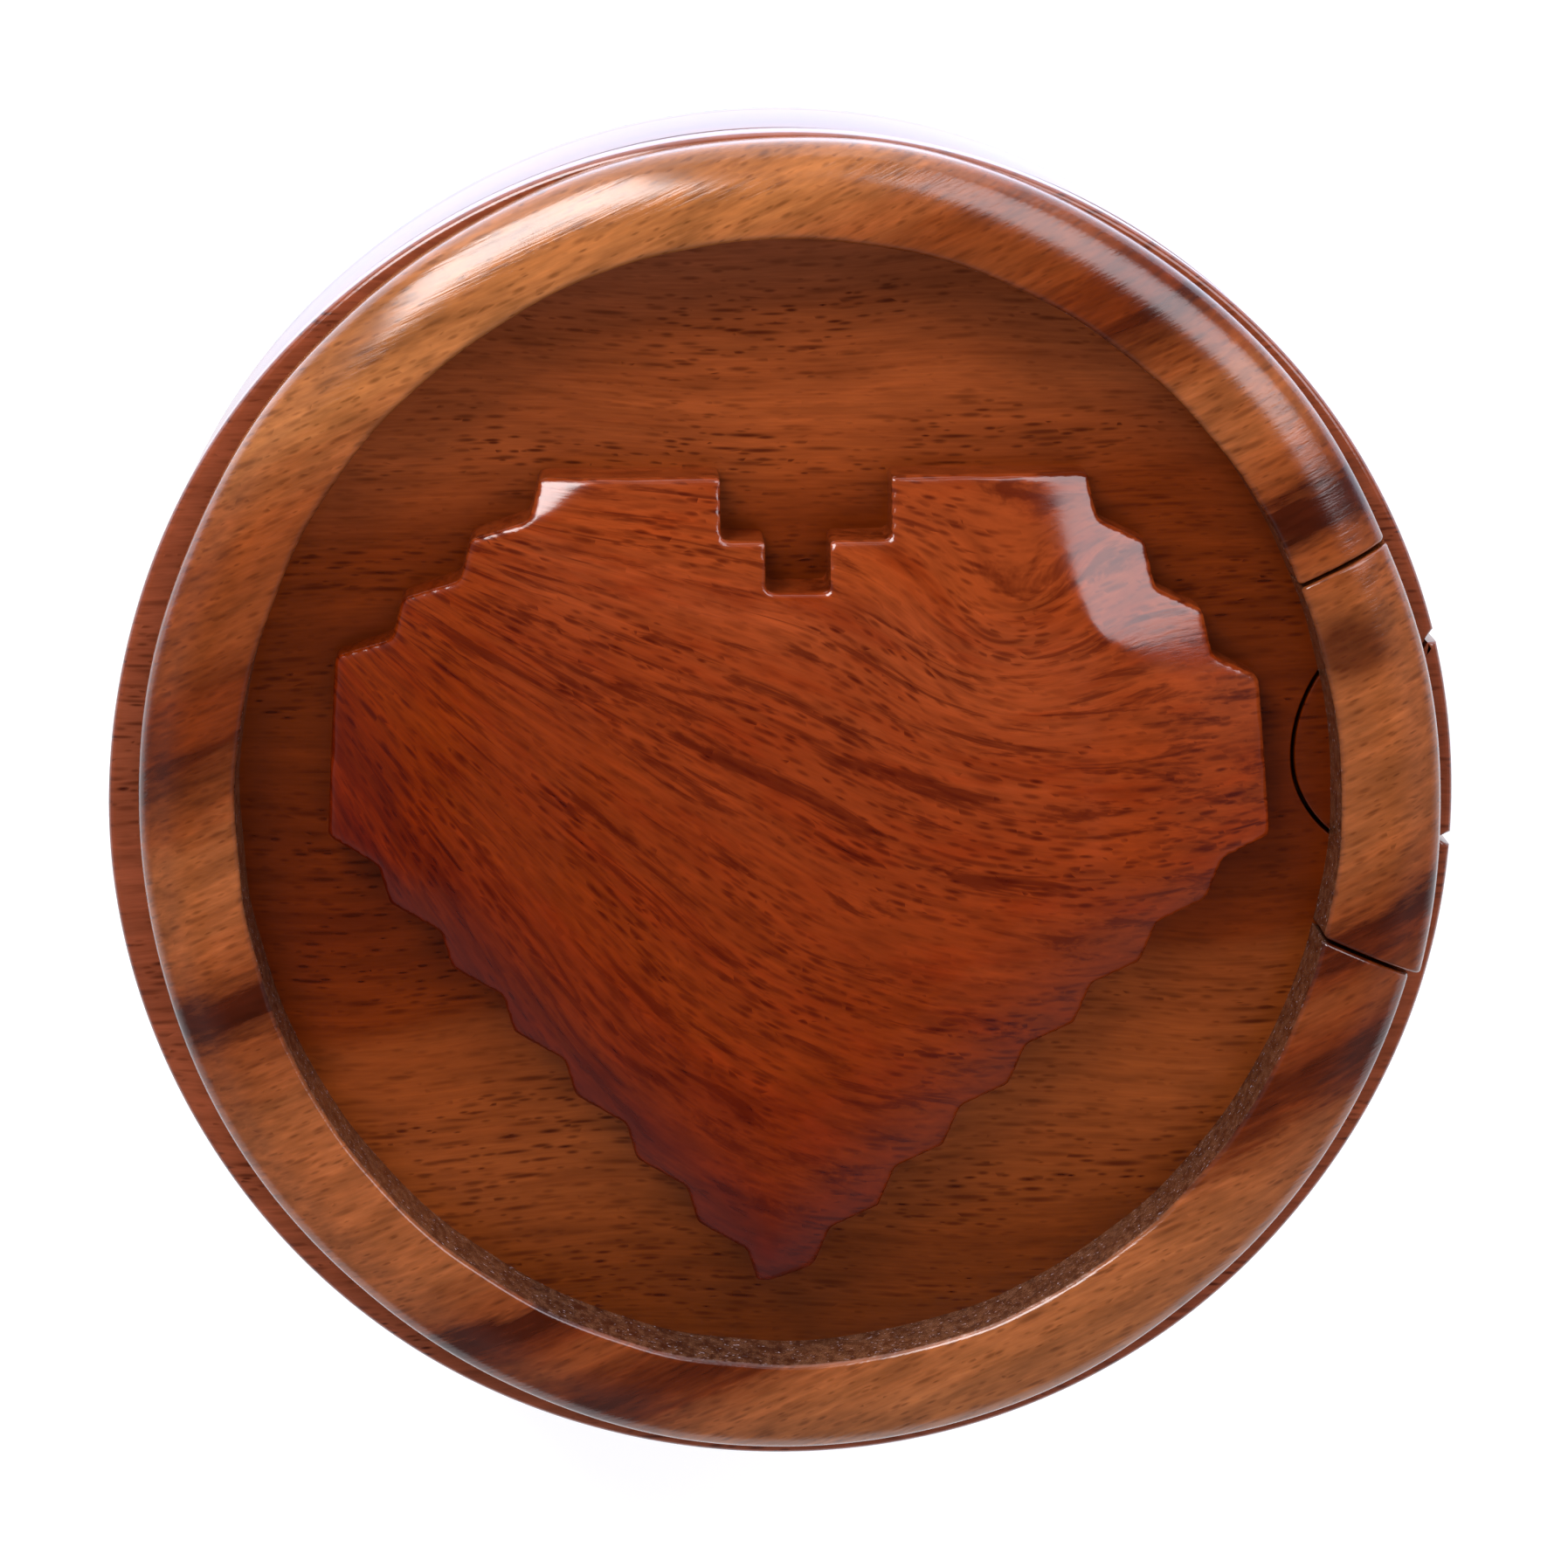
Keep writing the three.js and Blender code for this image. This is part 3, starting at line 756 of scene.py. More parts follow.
class Graph:
    """Builds a material's nodes. Inputs are numbers, vectors or other nodes' sockets."""

    def __init__(self, name):
        self.material = bpy.data.materials.new(name)
        self.material.use_nodes = True
        self.nodes = self.material.node_tree.nodes
        self.links = self.material.node_tree.links
        self.shader = self.nodes["Principled BSDF"]

    def feed(self, socket, value):
        if isinstance(value, bpy.types.NodeSocket):
            self.links.new(value, socket)
        else:
            socket.default_value = value

    def node(self, kind, inputs=None, **settings):
        node = self.nodes.new("ShaderNode" + kind)
        for key, value in settings.items():
            setattr(node, key, value)
        for key, value in (inputs or {}).items():
            self.feed(node.inputs[key], value)
        return node

    def math(self, operation, *values, clamp=False):
        inputs = dict(enumerate(values))
        return self.node("Math", inputs, operation=operation, use_clamp=clamp).outputs[0]

    def vector(self, operation, *values):
        node = self.node("VectorMath", dict(enumerate(values)), operation=operation)
        return node.outputs["Value" if operation in ("LENGTH", "DOT_PRODUCT") else "Vector"]

    def split(self, vector):
        return self.node("SeparateXYZ", {0: vector}).outputs

    def joined(self, x, y, z):
        return self.node("CombineXYZ", {0: x, 1: y, 2: z}).outputs[0]

    def turned(self, vector, angle):
        inputs = {"Vector": vector, "Angle": angle}
        return self.node("VectorRotate", inputs, rotation_type="Z_AXIS").outputs[0]

    def place(self):
        """The surface point in millimetres, in the piece's own frame."""
        point = self.node("TexCoord").outputs["Object"]
        return self.vector("DIVIDE", point, (MM, MM, MM))

    def noise(self, place, cell, detail=3.0, roughness=0.5, distortion=0.0):
        """Noise from 0 to 1 whose features are about a cell of millimetres in size."""
        inputs = {
            "Vector": self.vector("DIVIDE", place, cell),
            "Scale": 1.0,
            "Detail": detail,
            "Roughness": roughness,
            "Distortion": distortion,
        }
        return self.node("TexNoise", inputs).outputs["Fac"]

    def ranged(self, value, low, high, to_low=0.0, to_high=1.0, smooth=True):
        kind = "SMOOTHSTEP" if smooth else "LINEAR"
        inputs = {"Value": value, 1: low, 2: high, 3: to_low, 4: to_high}
        return self.node("MapRange", inputs, interpolation_type=kind).outputs[0]

    def mix(self, share, first, second, blend="MIX"):
        node = self.node("Mix", data_type="RGBA", blend_type=blend)
        self.feed(node.inputs[0], share)
        self.feed(node.inputs[6], first)
        self.feed(node.inputs[7], second)
        return node.outputs[2]

    def ramp(self, value, low, high, stops):
        """A colour for each value in a range, from (value, colour) stops."""
        node = self.node("ValToRGB", {0: self.ranged(value, low, high, smooth=False)})
        points = node.color_ramp.elements
        while len(points) < len(stops):
            points.new(0.5)
        for point, (at, colour) in zip(points, stops):
            point.position = (at - low) / (high - low)
            point.color = colour
        return node.outputs[0]

    def bump(self, height, depth, under=None):
        """A normal bent by a height of 0 to 1 that stands for so many millimetres."""
        inputs = {"Height": height, "Distance": depth * MM, "Strength": 1.0}
        if under is not None:
            inputs["Normal"] = under
        return self.node("Bump", inputs).outputs[0]

    def shade(self, **inputs):
        """Sets the shader's own inputs, named with _ for each space."""
        for key, value in inputs.items():
            self.feed(self.shader.inputs[key.replace("_", " ")], value)
        return self.material


def dashes(graph, place, cell, half, seed, turn=None, keep=0.8):
    """A mask of short dashes along the grain, one to a cell, random in place and size."""
    scaled = graph.vector("ADD", graph.vector("DIVIDE", place, cell), (seed, seed, seed))
    inputs = {"Vector": scaled, "Scale": 1.0, "Randomness": 1.0}
    cells = graph.node("TexVoronoi", inputs, voronoi_dimensions="3D", feature="F1")
    offset = graph.vector("SUBTRACT", scaled, cells.outputs["Position"])
    offset = graph.vector("MULTIPLY", offset, cell)
    if turn is not None:
        offset = graph.turned(offset, turn)
    reach = graph.vector("LENGTH", graph.vector("DIVIDE", offset, half))
    chance = graph.node("SeparateColor", {0: cells.outputs["Color"]}).outputs
    size = graph.ranged(chance[0], 0.0, 1.0, 0.5, 1.0, smooth=False)
    mask = graph.ranged(graph.math("DIVIDE", reach, size), 1.0, 0.2)
    depth = graph.ranged(chance[2], 0.0, 1.0, 0.35, 1.0, smooth=False)
    present = graph.math("LESS_THAN", chance[1], keep)
    return graph.math("MULTIPLY", graph.math("MULTIPLY", mask, present), depth)


def all_dashes(graph, place, layers, turn=None):
    """The strongest of several layers of dashes, each a (cell, half size, seed)."""
    marks = 0.0
    for cell, half, seed in layers:
        marks = graph.math("MAXIMUM", marks, dashes(graph, place, cell, half, seed, turn))
    return marks


def patchy(graph, place, cell):
    """A share that is high in some patches of the wood and low in others."""
    return graph.ranged(graph.noise(place, cell, detail=2.0), 0.4, 0.62, 0.3, 0.88)


def varied(graph, base, value, spread):
    """Darkens and lightens a colour by up to a share, by a value from 0 to 1."""
    light = graph.ranged(value, 0.25, 0.75, 1 - spread, 1 + spread, smooth=False)
    return graph.mix(1.0, base, graph.joined(light, light, light), "MULTIPLY")


TONE_MIDDLE = 1.55
TONE_SPREAD = 0.42
TINT_DARK = (0.52, 0.66, 0.78)
TINT_LIGHT = (0.42, 0.52, 0.6)


def tinted(graph, base, grain, strength, fleck=(3.2, 0.24, 0.6)):
    """Figures a base colour with fibres, flecks and broader streaks along the grain."""
    fibres = graph.noise(grain, (16, 0.3, 0.9), detail=4.0, roughness=0.6)
    flecks = graph.noise(grain, fleck, detail=3.0, roughness=0.6)
    streaks = graph.noise(grain, (40, 1.9, 4), detail=4.0, roughness=0.55, distortion=0.5)
    total = graph.math("MULTIPLY_ADD", streaks, 1.1, graph.math("ADD", fibres, flecks))
    tone = graph.ranged(total, TONE_MIDDLE - TONE_SPREAD, TONE_MIDDLE + TONE_SPREAD, smooth=False)
    dark = tuple(1 - strength * share for share in TINT_DARK) + (1,)
    light = tuple(1 + strength * share for share in TINT_LIGHT) + (1,)
    tint = graph.mix(tone, dark, light)
    return graph.mix(1.0, base, tint, "MULTIPLY"), fibres


def lacquer(graph, colour, relief, depth=0.012, gloss=0.16):
    """Wood under a clear coat that still shows a little of the fibres' relief."""
    return graph.shade(
        Base_Color=colour,
        Roughness=0.5,
        Specular_IOR_Level=0.0,
        Coat_Weight=1.0,
        Coat_Roughness=gloss,
        Coat_IOR=1.5,
        Coat_Normal=graph.bump(relief, depth),
    )


def lit(red, green, blue, light=None):
    """The colour of a surface that the studio's light shows as these sRGB values."""
    light = light or STUDIO_LIGHT
    shown = linear(red, green, blue)[:3]
    return tuple(max(channel - COAT_VEIL, 0) / light for channel in shown) + (1,)


# ---- Materials ----

STUDIO_LIGHT = 1.75  # how bright the studio's light makes a white surface
COAT_VEIL = 0.004  # what the lacquer's own reflection adds to every colour
RING_GRAIN = 25
RING_GOLD = lit(163, 99, 54)
RING_TAN = lit(149, 82, 44)
RING_RUST = lit(128, 62, 30)
RING_BROWN = lit(103, 43, 20)
RING_DARK = lit(68, 27, 16)
RING_BANDS = [
    (-60, RING_GOLD), (-46, RING_TAN), (-43, RING_BROWN), (-41, RING_DARK), (-39, RING_BROWN),
    (-36, RING_RUST), (-33, RING_BROWN), (-31.5, RING_DARK), (-30, RING_DARK), (-28.5, RING_RUST),
    (-24, RING_TAN), (-5, RING_TAN), (2, RING_RUST), (4, RING_DARK), (7, RING_DARK),
    (9, RING_RUST), (14, RING_TAN), (20, RING_TAN), (23, RING_RUST), (27, RING_DARK),
    (28.5, RING_BROWN), (32, RING_BROWN), (36, RING_RUST), (42, RING_RUST), (46, RING_TAN),
    (50, RING_GOLD), (60, RING_GOLD),
]
# Painted glints: lavender-white specks on the ring's sawn inner wall stand for light caught by its
# rough fibres.
WALL_GLINT = lit(196, 184, 196)
KEY_BLOTCH = (49.5, 15.5)
KEY_BLOTCH_SIZE = (4.6, 3.4, 12)
WALL_DEPTHS = (0.2, 0.7)  # below the ring's top, where the sawn inner wall fades in
WALL_REACHES = (1.014, 1.004)  # shares of the way to the inner outline, where it fades in


def ring_wood():
    """Golden to rust-brown wood, one board with its bands across the whole ring."""
    graph = Graph("ring_wood")
    place = graph.place()
    grain = graph.turned(place, -math.radians(RING_GRAIN))
    sway = graph.noise(grain, (26, 7, 12), detail=4.0, roughness=0.55)
    fray = graph.noise(grain, (7, 0.9, 2.5), detail=4.0, roughness=0.65)
    wander = graph.ranged(sway, 0.0, 1.0, -2.5, 2.5, smooth=False)
    wander = graph.math("ADD", wander, graph.ranged(fray, 0.0, 1.0, -2.6, 2.6, smooth=False))
    across = graph.math("ADD", graph.split(grain)[1], wander)
    base = graph.ramp(across, -60, 60, RING_BANDS)
    base = graph.mix(graph.math("MULTIPLY", key_blotch(graph, place, sway), 0.8), base, RING_DARK)
    base = varied(graph, base, graph.noise(grain, (9, 2.6, 3.5), detail=4.0), 0.3)
    base = varied(graph, base, graph.noise(grain, (3.2, 0.6, 0.9), detail=3.0), 0.24)
    colour, fibres = tinted(graph, base, grain, 0.3, fleck=(5, 0.4, 0.8))
    marks = all_dashes(graph, grain, [
        ((5, 1.5, 1.4), (2.1, 0.36, 3), 3.7),
        ((3, 1.3, 1.4), (1.0, 0.34, 3), 9.1),
        ((2.4, 0.9, 1.1), (0.8, 0.2, 3), 5.2),
    ])
    colour = graph.mix(graph.math("MULTIPLY", marks, 0.5), colour, RING_DARK)
    wall = inner_wall(graph, place)
    sawn = graph.noise(place, (0.9, 0.9, 1.6), detail=5.0, roughness=0.7)
    rough = graph.mix(graph.ranged(sawn, 0.35, 0.65), lit(58, 34, 26), lit(122, 84, 62))
    # Painted glints: lavender-white specks are scattered over the sawn wall's colour.
    rough = graph.mix(graph.ranged(graph.noise(place, (0.4, 0.4, 0.3)), 0.64, 0.72), rough, WALL_GLINT)
    colour = graph.mix(graph.math("MULTIPLY", wall, 0.8), colour, rough)
    relief = graph.math("MULTIPLY_ADD", graph.math("MULTIPLY", sawn, wall), 9.0, fibres)
    return lacquer(graph, colour, relief, depth=0.03)


def key_blotch(graph, place, sway):
    """A dark patch in the wood just below the key's upper saw cut."""
    offset = graph.vector("SUBTRACT", place, (*KEY_BLOTCH, RING_TOP))
    reach = graph.vector("LENGTH", graph.vector("DIVIDE", offset, KEY_BLOTCH_SIZE))
    return graph.ranged(graph.math("ADD", reach, sway), 1.7, 0.9)


def ellipse_reach(graph, place, ellipse):
    """How far out a point is from an ellipse's middle, as a share of the way to its outline."""
    x, y, z = graph.split(place)
    east = graph.math("DIVIDE", graph.math("SUBTRACT", x, ellipse["x"]), ellipse["half_width"])
    north = graph.math("DIVIDE", graph.math("SUBTRACT", y, ellipse["y"]), ellipse["half_depth"])
    return graph.vector("LENGTH", graph.joined(east, north, 0.0))


def inner_wall(graph, place):
    """Where the ring's upright inner wall is, which was left as it was sawn."""
    low = graph.ranged(graph.split(place)[2], *(RING_TOP - depth for depth in WALL_DEPTHS))
    near = graph.ranged(ellipse_reach(graph, place, RING_INNER), *WALL_REACHES)
    return graph.math("MULTIPLY", near, low)


PLATE_LIGHT = 1.65  # the plate lies lower, where less of the studio's light comes
PLATE_SHADES = [
    (-60, (104, 50, 22)), (-40, (102, 46, 18)), (-30, (128, 62, 27)), (-17.5, (124, 56, 22)),
    (-15.5, (104, 40, 13)), (-6, (94, 34, 9)), (12, (98, 38, 11)), (26, (112, 44, 14)),
    (36, (140, 66, 30)), (46, (128, 60, 28)), (60, (138, 72, 46)),
]
PLATE_BANDS = [(at, lit(*shade, PLATE_LIGHT)) for at, shade in PLATE_SHADES]
# Painted light: the plate's band outside the ring is painted lighter and bluer than the board, as
# the studio light shows it there.
PLATE_RIM_PAINTED_LIGHT = lit(144, 72, 46)
PLATE_RIM_RADII = (53.0, 57.0)
PLATE_PORE = lit(58, 19, 8)


def plate_wood():
    """Orange-brown board with level, slightly wavy grain and dark vessels."""
    graph = Graph("plate_wood")
    place = graph.place()
    x, y, z = graph.split(place)
    wave = graph.noise(place, (45, 30, 40), detail=1.0)
    lift = graph.ranged(wave, 0.0, 1.0, -4.0, 4.0, smooth=False)
    grain = graph.joined(x, graph.math("ADD", y, lift), z)
    across = graph.math("MULTIPLY_ADD", x, -0.12, graph.split(grain)[1])
    base = graph.ramp(across, -60, 60, PLATE_BANDS)
    # Painted light: outside the ring the board turns to the lighter, bluer rim colour.
    rim = graph.ranged(graph.vector("LENGTH", graph.joined(x, y, 0.0)), *PLATE_RIM_RADII)
    base = graph.mix(graph.math("MULTIPLY", rim, 0.85), base, PLATE_RIM_PAINTED_LIGHT)
    base = varied(graph, base, graph.noise(grain, (9, 1.6, 3), detail=4.0, roughness=0.6), 0.22)
    colour, fibres = tinted(graph, base, grain, 0.42, fleck=(3.4, 0.32, 0.7))
    marks = all_dashes(graph, grain, [
        ((6.5, 1.4, 1.5), (3.2, 0.36, 3), 1.3),
        ((3.4, 1.1, 1.3), (1.6, 0.32, 3), 6.1),
        ((2.2, 1.3, 1.2), (0.9, 0.26, 3), 4.5),
    ])
    marks = graph.math("MULTIPLY", marks, patchy(graph, grain, (22, 7, 9)))
    colour = graph.mix(marks, colour, PLATE_PORE)
    return lacquer(graph, colour, fibres)


# The heart's grain fans out from a point beyond its left shoulder and levels off to the right.
FAN_CENTRE = (-57, 34)
FAN_SCALE = 55  # millimetres across the grain to a radian of the fan
LEVELLING = (0.6, -0.8)
LEVELLING_START = 3
LEVELLING_LIFT = 0.019
LEVELLING_TURN = 0.028
MEAN_TURN = 0.6  # how far the heart's fibres turn from the X axis on average, in radians
SWIRL_CENTRE = (19, 17.8)
SWIRL_SIZE = (7, 6.5)
SWIRL_BEND = -0.1
SWIRL_TURN = -0.9
# The wood's bands across the fan of the grain. The darker stops at 58 and 70, on the heart's lower
# left, are partly the wood's colour and partly painted shade.
HEART_BANDS_AND_SHADE = [
    (0, lit(140, 60, 28)), (14, lit(146, 62, 28)), (22, lit(134, 52, 21)), (34, lit(126, 47, 17)),
    (44, lit(118, 42, 13)), (50, lit(108, 35, 10)), (58, lit(84, 22, 6)), (70, lit(72, 20, 7)),
    (80, lit(98, 38, 18)),
]
HEART_RED = lit(122, 38, 12)
HEART_PORE = lit(66, 17, 5)


def heart_grain(graph, place):
    """The grain's coordinates on the heart, and how far its fibres turn from the X axis."""
    x, y, z = graph.split(place)
    toward = graph.vector("DOT_PRODUCT", place, (*LEVELLING, 0))
    past = graph.math("MAXIMUM", graph.math("SUBTRACT", toward, LEVELLING_START), 0.0)
    lift = graph.math("MULTIPLY", graph.math("MULTIPLY", past, past), LEVELLING_LIFT)
    east = graph.math("SUBTRACT", x, FAN_CENTRE[0])
    south = graph.math("SUBTRACT", FAN_CENTRE[1], graph.math("SUBTRACT", y, lift))
    fan = graph.math("ARCTAN2", south, east)
    from_swirl = graph.vector("SUBTRACT", place, (*SWIRL_CENTRE, 0))
    from_swirl = graph.vector("MULTIPLY", from_swirl, (1 / SWIRL_SIZE[0], 1 / SWIRL_SIZE[1], 0))
    reach = graph.vector("LENGTH", from_swirl)
    squared = graph.math("MULTIPLY", reach, reach)
    fade = graph.math("EXPONENT", graph.math("MULTIPLY", squared, -0.5))
    bent = graph.math("MULTIPLY_ADD", fade, SWIRL_BEND, fan)
    across = graph.math("MULTIPLY", bent, FAN_SCALE)
    along = graph.vector("LENGTH", graph.joined(east, south, 0.0))
    turn = graph.math("MULTIPLY_ADD", past, -LEVELLING_TURN, fan)
    aside = graph.math("MULTIPLY", graph.split(from_swirl)[0], fade)
    turn = graph.math("MULTIPLY_ADD", aside, SWIRL_TURN, turn)
    return graph.joined(along, across, z), turn


def heart_wood():
    """Deep orange wood, whose grain fans across the heart and curls in its right lobe."""
    graph = Graph("heart_wood")
    place = graph.place()
    grain, turn = heart_grain(graph, place)
    sway = graph.noise(grain, (18, 4, 8), detail=4.0, roughness=0.6)
    wander = graph.ranged(sway, 0.0, 1.0, -8.0, 8.0, smooth=False)
    across = graph.math("ADD", graph.split(grain)[1], wander)
    # The wood's bands, darker on the lower left, partly as painted shade.
    base = graph.ramp(across, 0, 90, HEART_BANDS_AND_SHADE)
    patch = graph.noise(grain, (14, 3, 6), detail=4.0, roughness=0.6)
    base = graph.mix(graph.ranged(patch, 0.45, 0.7, 0.0, 0.6), base, HEART_RED)
    base = varied(graph, base, graph.noise(grain, (7, 0.9, 3), detail=4.0, roughness=0.6), 0.28)
    colour, fibres = tinted(graph, base, grain, 0.3, fleck=(3, 0.4, 0.7))
    streaks = graph.noise(grain, (13, 1.3, 4), detail=5.0, roughness=0.65, distortion=0.6)
    colour = graph.mix(graph.ranged(streaks, 0.51, 0.64, 0.0, 0.62), colour, HEART_PORE)
    aligned = graph.turned(place, MEAN_TURN)
    marks = all_dashes(graph, aligned, [
        ((2.4, 1.1, 1.3), (1.2, 0.34, 3), 2.2),
        ((3.4, 1.6, 1.5), (2.3, 0.4, 3), 8.4),
        ((3.0, 1.3, 1.4), (1.7, 0.36, 3), 5.6),
        ((9.0, 3.2, 3.0), (7.5, 0.36, 4), 7.3),
    ], graph.math("SUBTRACT", turn, MEAN_TURN))
    marks = graph.math("MULTIPLY", marks, patchy(graph, grain, (16, 6, 8)))
    colour = graph.mix(marks, colour, HEART_PORE)
    return lacquer(graph, colour, fibres)


BODY_GRAIN = 8
BODY_BANDS = [
    (0.25, lit(84, 36, 18)), (0.42, lit(112, 52, 25)), (0.55, lit(130, 66, 34)),
    (0.75, lit(144, 80, 42)),
]
BODY_PORE = lit(52, 22, 12)


def body_wood():
    """Brown wood of the side wall and the base, with its grain nearly level along X."""
    graph = Graph("body_wood")
    grain = graph.turned(graph.place(), math.radians(BODY_GRAIN))
    rise = graph.noise(grain, (70, 8, 3.2), detail=3.0)
    base = graph.ramp(rise, BODY_BANDS[0][0], BODY_BANDS[-1][0], BODY_BANDS)
    base = varied(graph, base, graph.noise(grain, (24, 0.8, 0.8), detail=4.0), 0.25)
    colour, fibres = tinted(graph, base, grain, 0.4)
    marks = all_dashes(graph, grain, [
        ((5, 1.2, 1.2), (2.2, 0.4, 0.4), 4.4),
        ((3, 0.8, 0.8), (1.3, 0.28, 0.28), 2.9),
    ])
    colour = graph.mix(graph.math("MULTIPLY", marks, 0.7), colour, BODY_PORE)
    return lacquer(graph, colour, fibres)


def dowel_wood():
    """Pale, unlacquered wood with short brown flecks, for the hidden dowel and the key's foot."""
    graph = Graph("dowel_wood")
    grain = graph.turned(graph.place(), math.radians(90))
    colour, fibres = tinted(graph, linear(206, 166, 116), grain, 0.25)
    flecks = all_dashes(graph, grain, [((2.2, 0.7, 0.7), (0.6, 0.08, 0.08), 5.5)])
    colour = graph.mix(graph.math("MULTIPLY", flecks, 0.6), colour, linear(140, 92, 54))
    return graph.shade(Base_Color=colour, Roughness=0.6, Normal=graph.bump(fibres, 0.06))


def flock():
    """Black velvety flock: short upright fibres, brushed into soft patches."""
    graph = Graph("flock")
    place = graph.place()
    nap = graph.noise(place, (0.22, 0.22, 0.22), detail=2.0, roughness=0.7)
    brushed = graph.noise(place, (11, 11, 11), detail=2.0)
    tone = graph.ranged(graph.math("MULTIPLY", nap, brushed), 0.1, 0.4, 0.0, 1.0)
    colour = graph.mix(tone, linear(16, 14, 16), linear(46, 42, 46))
    return graph.shade(
        Base_Color=colour,
        Roughness=0.95,
        Specular_IOR_Level=0.1,
        Sheen_Weight=0.6,
        Sheen_Roughness=0.4,
        Normal=graph.bump(nap, 0.25),
    )


def steel():
    """Turned zinc-plated steel, with fine rings round the pivot and slight tarnish."""
    graph = Graph("steel")
    from_pivot = graph.vector("SUBTRACT", graph.place(), (*PIVOT, 0))
    x, y, z = graph.split(from_pivot)
    radius = graph.vector("LENGTH", graph.joined(x, y, 0.0))
    rings = graph.noise(graph.joined(radius, z, 0.0), (0.12, 0.12, 1), detail=2.0)
    tarnish = graph.noise(from_pivot, (1.6, 1.6, 1.6), detail=4.0)
    stain = graph.ranged(tarnish, 0.4, 0.75)
    colour = graph.mix(stain, linear(188, 190, 192), linear(142, 138, 128))
    return graph.shade(
        Base_Color=colour,
        Metallic=1.0,
        Roughness=graph.ranged(tarnish, 0.3, 0.7, 0.28, 0.45, smooth=False),
        Normal=graph.bump(rings, 0.02),
    )


# ---- Assembly ----


def build_pieces():
    brown = body_wood()
    board = plate_wood()
    frame_wood = ring_wood()
    pale = dowel_wood()
    velvet = flock()
    metal = steel()
    finished(base_plate(), brown, "box")
    finished(box_body(), brown, "box")
    finished(lining_wall(), velvet, "box")
    finished(lining_floor(), velvet, "box")
    finished(lid_plate(), board, "lid")
    finished(lid_ring(), frame_wood, "lid")
    finished(heart_inlay(), heart_wood(), "lid")
    finished(pivot_dowel(), pale, "lid")
    finished(pivot_washer(), metal, "lid")
    finished(pivot_screw(), metal, "lid")
    finished(key_tab(), board, "key")
    finished(key_ring(), frame_wood, "key")
    finished(key_foot(), pale, "key")


# ---- Stage ----

CAMERA_PLACE = (-17.45, 97.97, 523.25)
CAMERA_AIM = (0.07, 2.2, 33.25)
SENSOR_WIDTH = 36
LENS = 128.74
FLOOR_SIZE = 6000
FLOOR_BACK = (20.0, 58.0)  # where the floor turns from a dull to a bright, faintly blue white
FLOOR_WHITES = [(0.5, 0.5, 0.52, 1), (0.95, 0.97, 1.0, 1)]
FLOOR_GLOWS = [(0.55, 0.55, 0.57, 1), (0.1, 0.25, 0.6, 1)]


def looking(place, aim, up=(0, 1, 0)):
    """A placement whose -Z axis points from place to aim, with its Y axis towards up."""
    back = (Vector(place) - Vector(aim)).normalized()
    right = Vector(up).cross(back).normalized()
    rotation = Matrix((right, back.cross(right), back)).transposed().to_4x4()
    return Matrix.Translation(Vector(place) * MM) @ rotation


def camera():
    data = bpy.data.cameras.new("camera")
    data.sensor_width = SENSOR_WIDTH
    data.lens = LENS
    data.clip_start = 0.01
    data.clip_end = 50
    eye = bpy.data.objects.new("camera", data)
    bpy.context.scene.collection.objects.link(eye)
    eye.matrix_world = looking(CAMERA_PLACE, CAMERA_AIM)
    bpy.context.scene.camera = eye


def floor():
    half = FLOOR_SIZE / 2
    corners = [(x, y, 0) for x, y in rectangle((0, 0), half, half)]
    ground = solid("floor", corners, [(0, 1, 2, 3)])
    graph = Graph("floor_white")
    back = graph.ranged(graph.split(graph.place())[1], *FLOOR_BACK)
    ground.data.materials.append(graph.shade(
        Base_Color=graph.mix(back, *FLOOR_WHITES),
        Roughness=0.8,
        Emission_Color=graph.mix(back, *FLOOR_GLOWS),
        Emission_Strength=1.0,
    ))


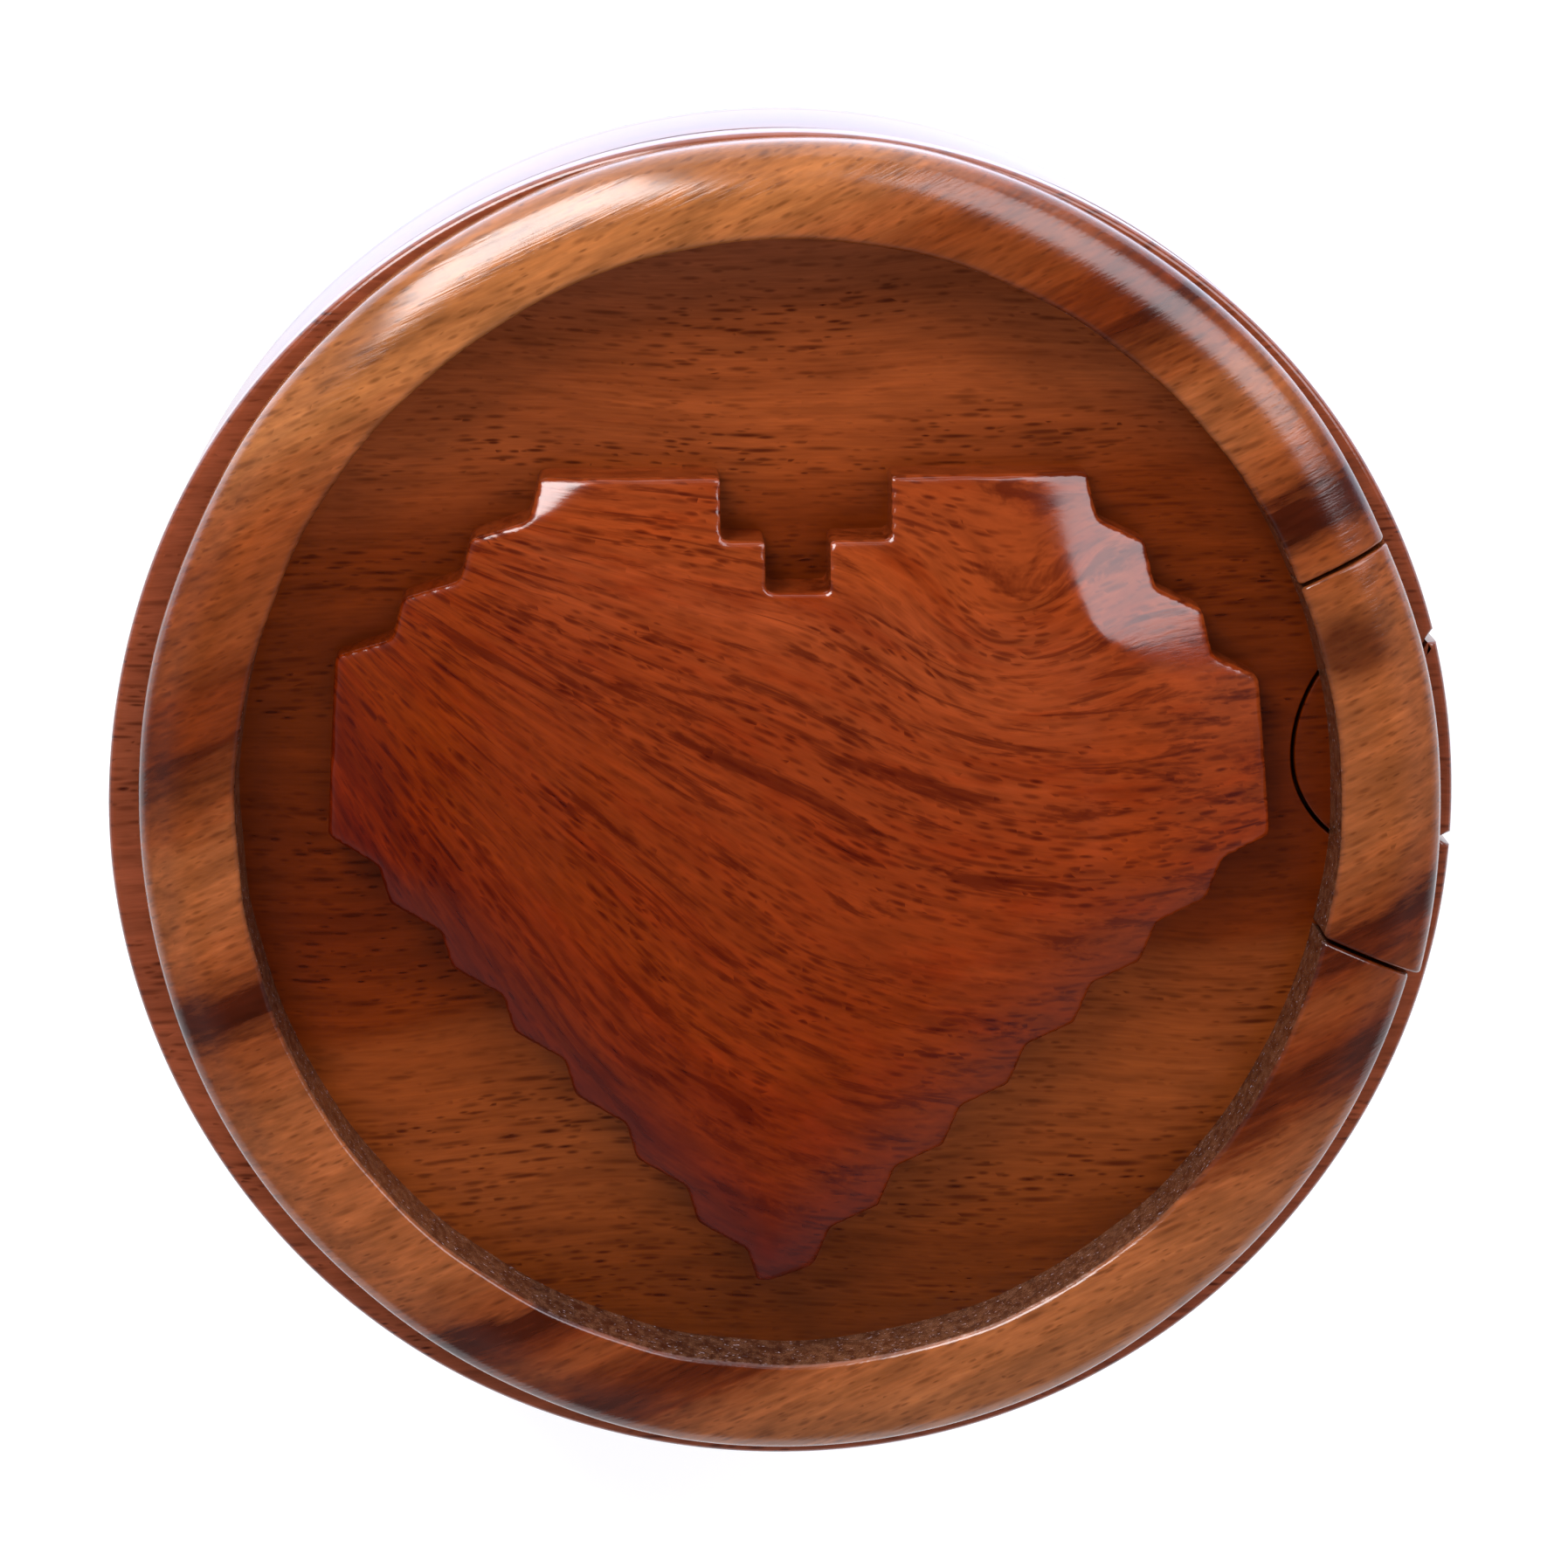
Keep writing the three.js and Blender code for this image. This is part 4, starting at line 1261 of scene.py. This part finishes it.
def soft_light(name, place, aim, size, power, colour):
    data = bpy.data.lights.new(name, "AREA")
    data.shape = "RECTANGLE"
    data.size = size[0] * MM
    data.size_y = size[1] * MM
    data.energy = power
    data.color = colour
    lamp = bpy.data.objects.new(name, data)
    bpy.context.scene.collection.objects.link(lamp)
    lamp.matrix_world = looking(place, aim, (0, 0, 1))
    return lamp


SKY_TINT = (0.93, 0.92, 1)
# (height, grey), with the two ends first, since a new ramp already has those.
SKY_GREYS = [(0.0, 0.24), (1.0, 0.01), (0.2, 0.24), (0.5, 0.32), (0.7, 0.18), (0.85, 0.05)]


def sky():
    """Studio surroundings: bright and faintly lavender near the horizon, dim overhead."""
    world = bpy.data.worlds.new("studio")
    world.use_nodes = True
    nodes, links = world.node_tree.nodes, world.node_tree.links
    background = nodes["Background"]
    coordinate = nodes.new("ShaderNodeTexCoord")
    split = nodes.new("ShaderNodeSeparateXYZ")
    ramp = nodes.new("ShaderNodeValToRGB")
    links.new(coordinate.outputs["Generated"], split.inputs[0])
    links.new(split.outputs[2], ramp.inputs[0])
    links.new(ramp.outputs[0], background.inputs["Color"])
    points = ramp.color_ramp.elements
    for i, (height, grey) in enumerate(SKY_GREYS):
        point = points[i] if i < 2 else points.new(height)
        point.position = height
        point.color = (*(grey * share for share in SKY_TINT), 1)
    background.inputs["Strength"].default_value = 1.0
    bpy.context.scene.world = world


def around(azimuth, elevation, distance):
    """A place seen from the box's middle at an azimuth from +X and a height above the horizon."""
    level = distance * math.cos(math.radians(elevation))
    return (*polar(level, azimuth), distance * math.sin(math.radians(elevation)))


LIT_MIDDLE = (0, 0, 30)


def lights():
    soft_light("left_box", around(118, 37, 850), LIT_MIDDLE, (390, 460), 9.5, (1.0, 0.99, 1.0))
    soft_light("right_box", around(48, 38, 850), LIT_MIDDLE, (660, 420), 5.2, (0.94, 0.93, 1.0))
    soft_light("back_strip", around(92, 8, 1100), LIT_MIDDLE, (1500, 420), 4, (0.95, 0.94, 1.0))
    fill = soft_light("fill", around(-90, 68, 900), LIT_MIDDLE, (900, 900), 8, (1.0, 1.0, 1.0))
    fill.visible_glossy = False


camera()
floor()
sky()
lights()
build_pieces()
bpy.context.scene.view_settings.view_transform = "Standard"
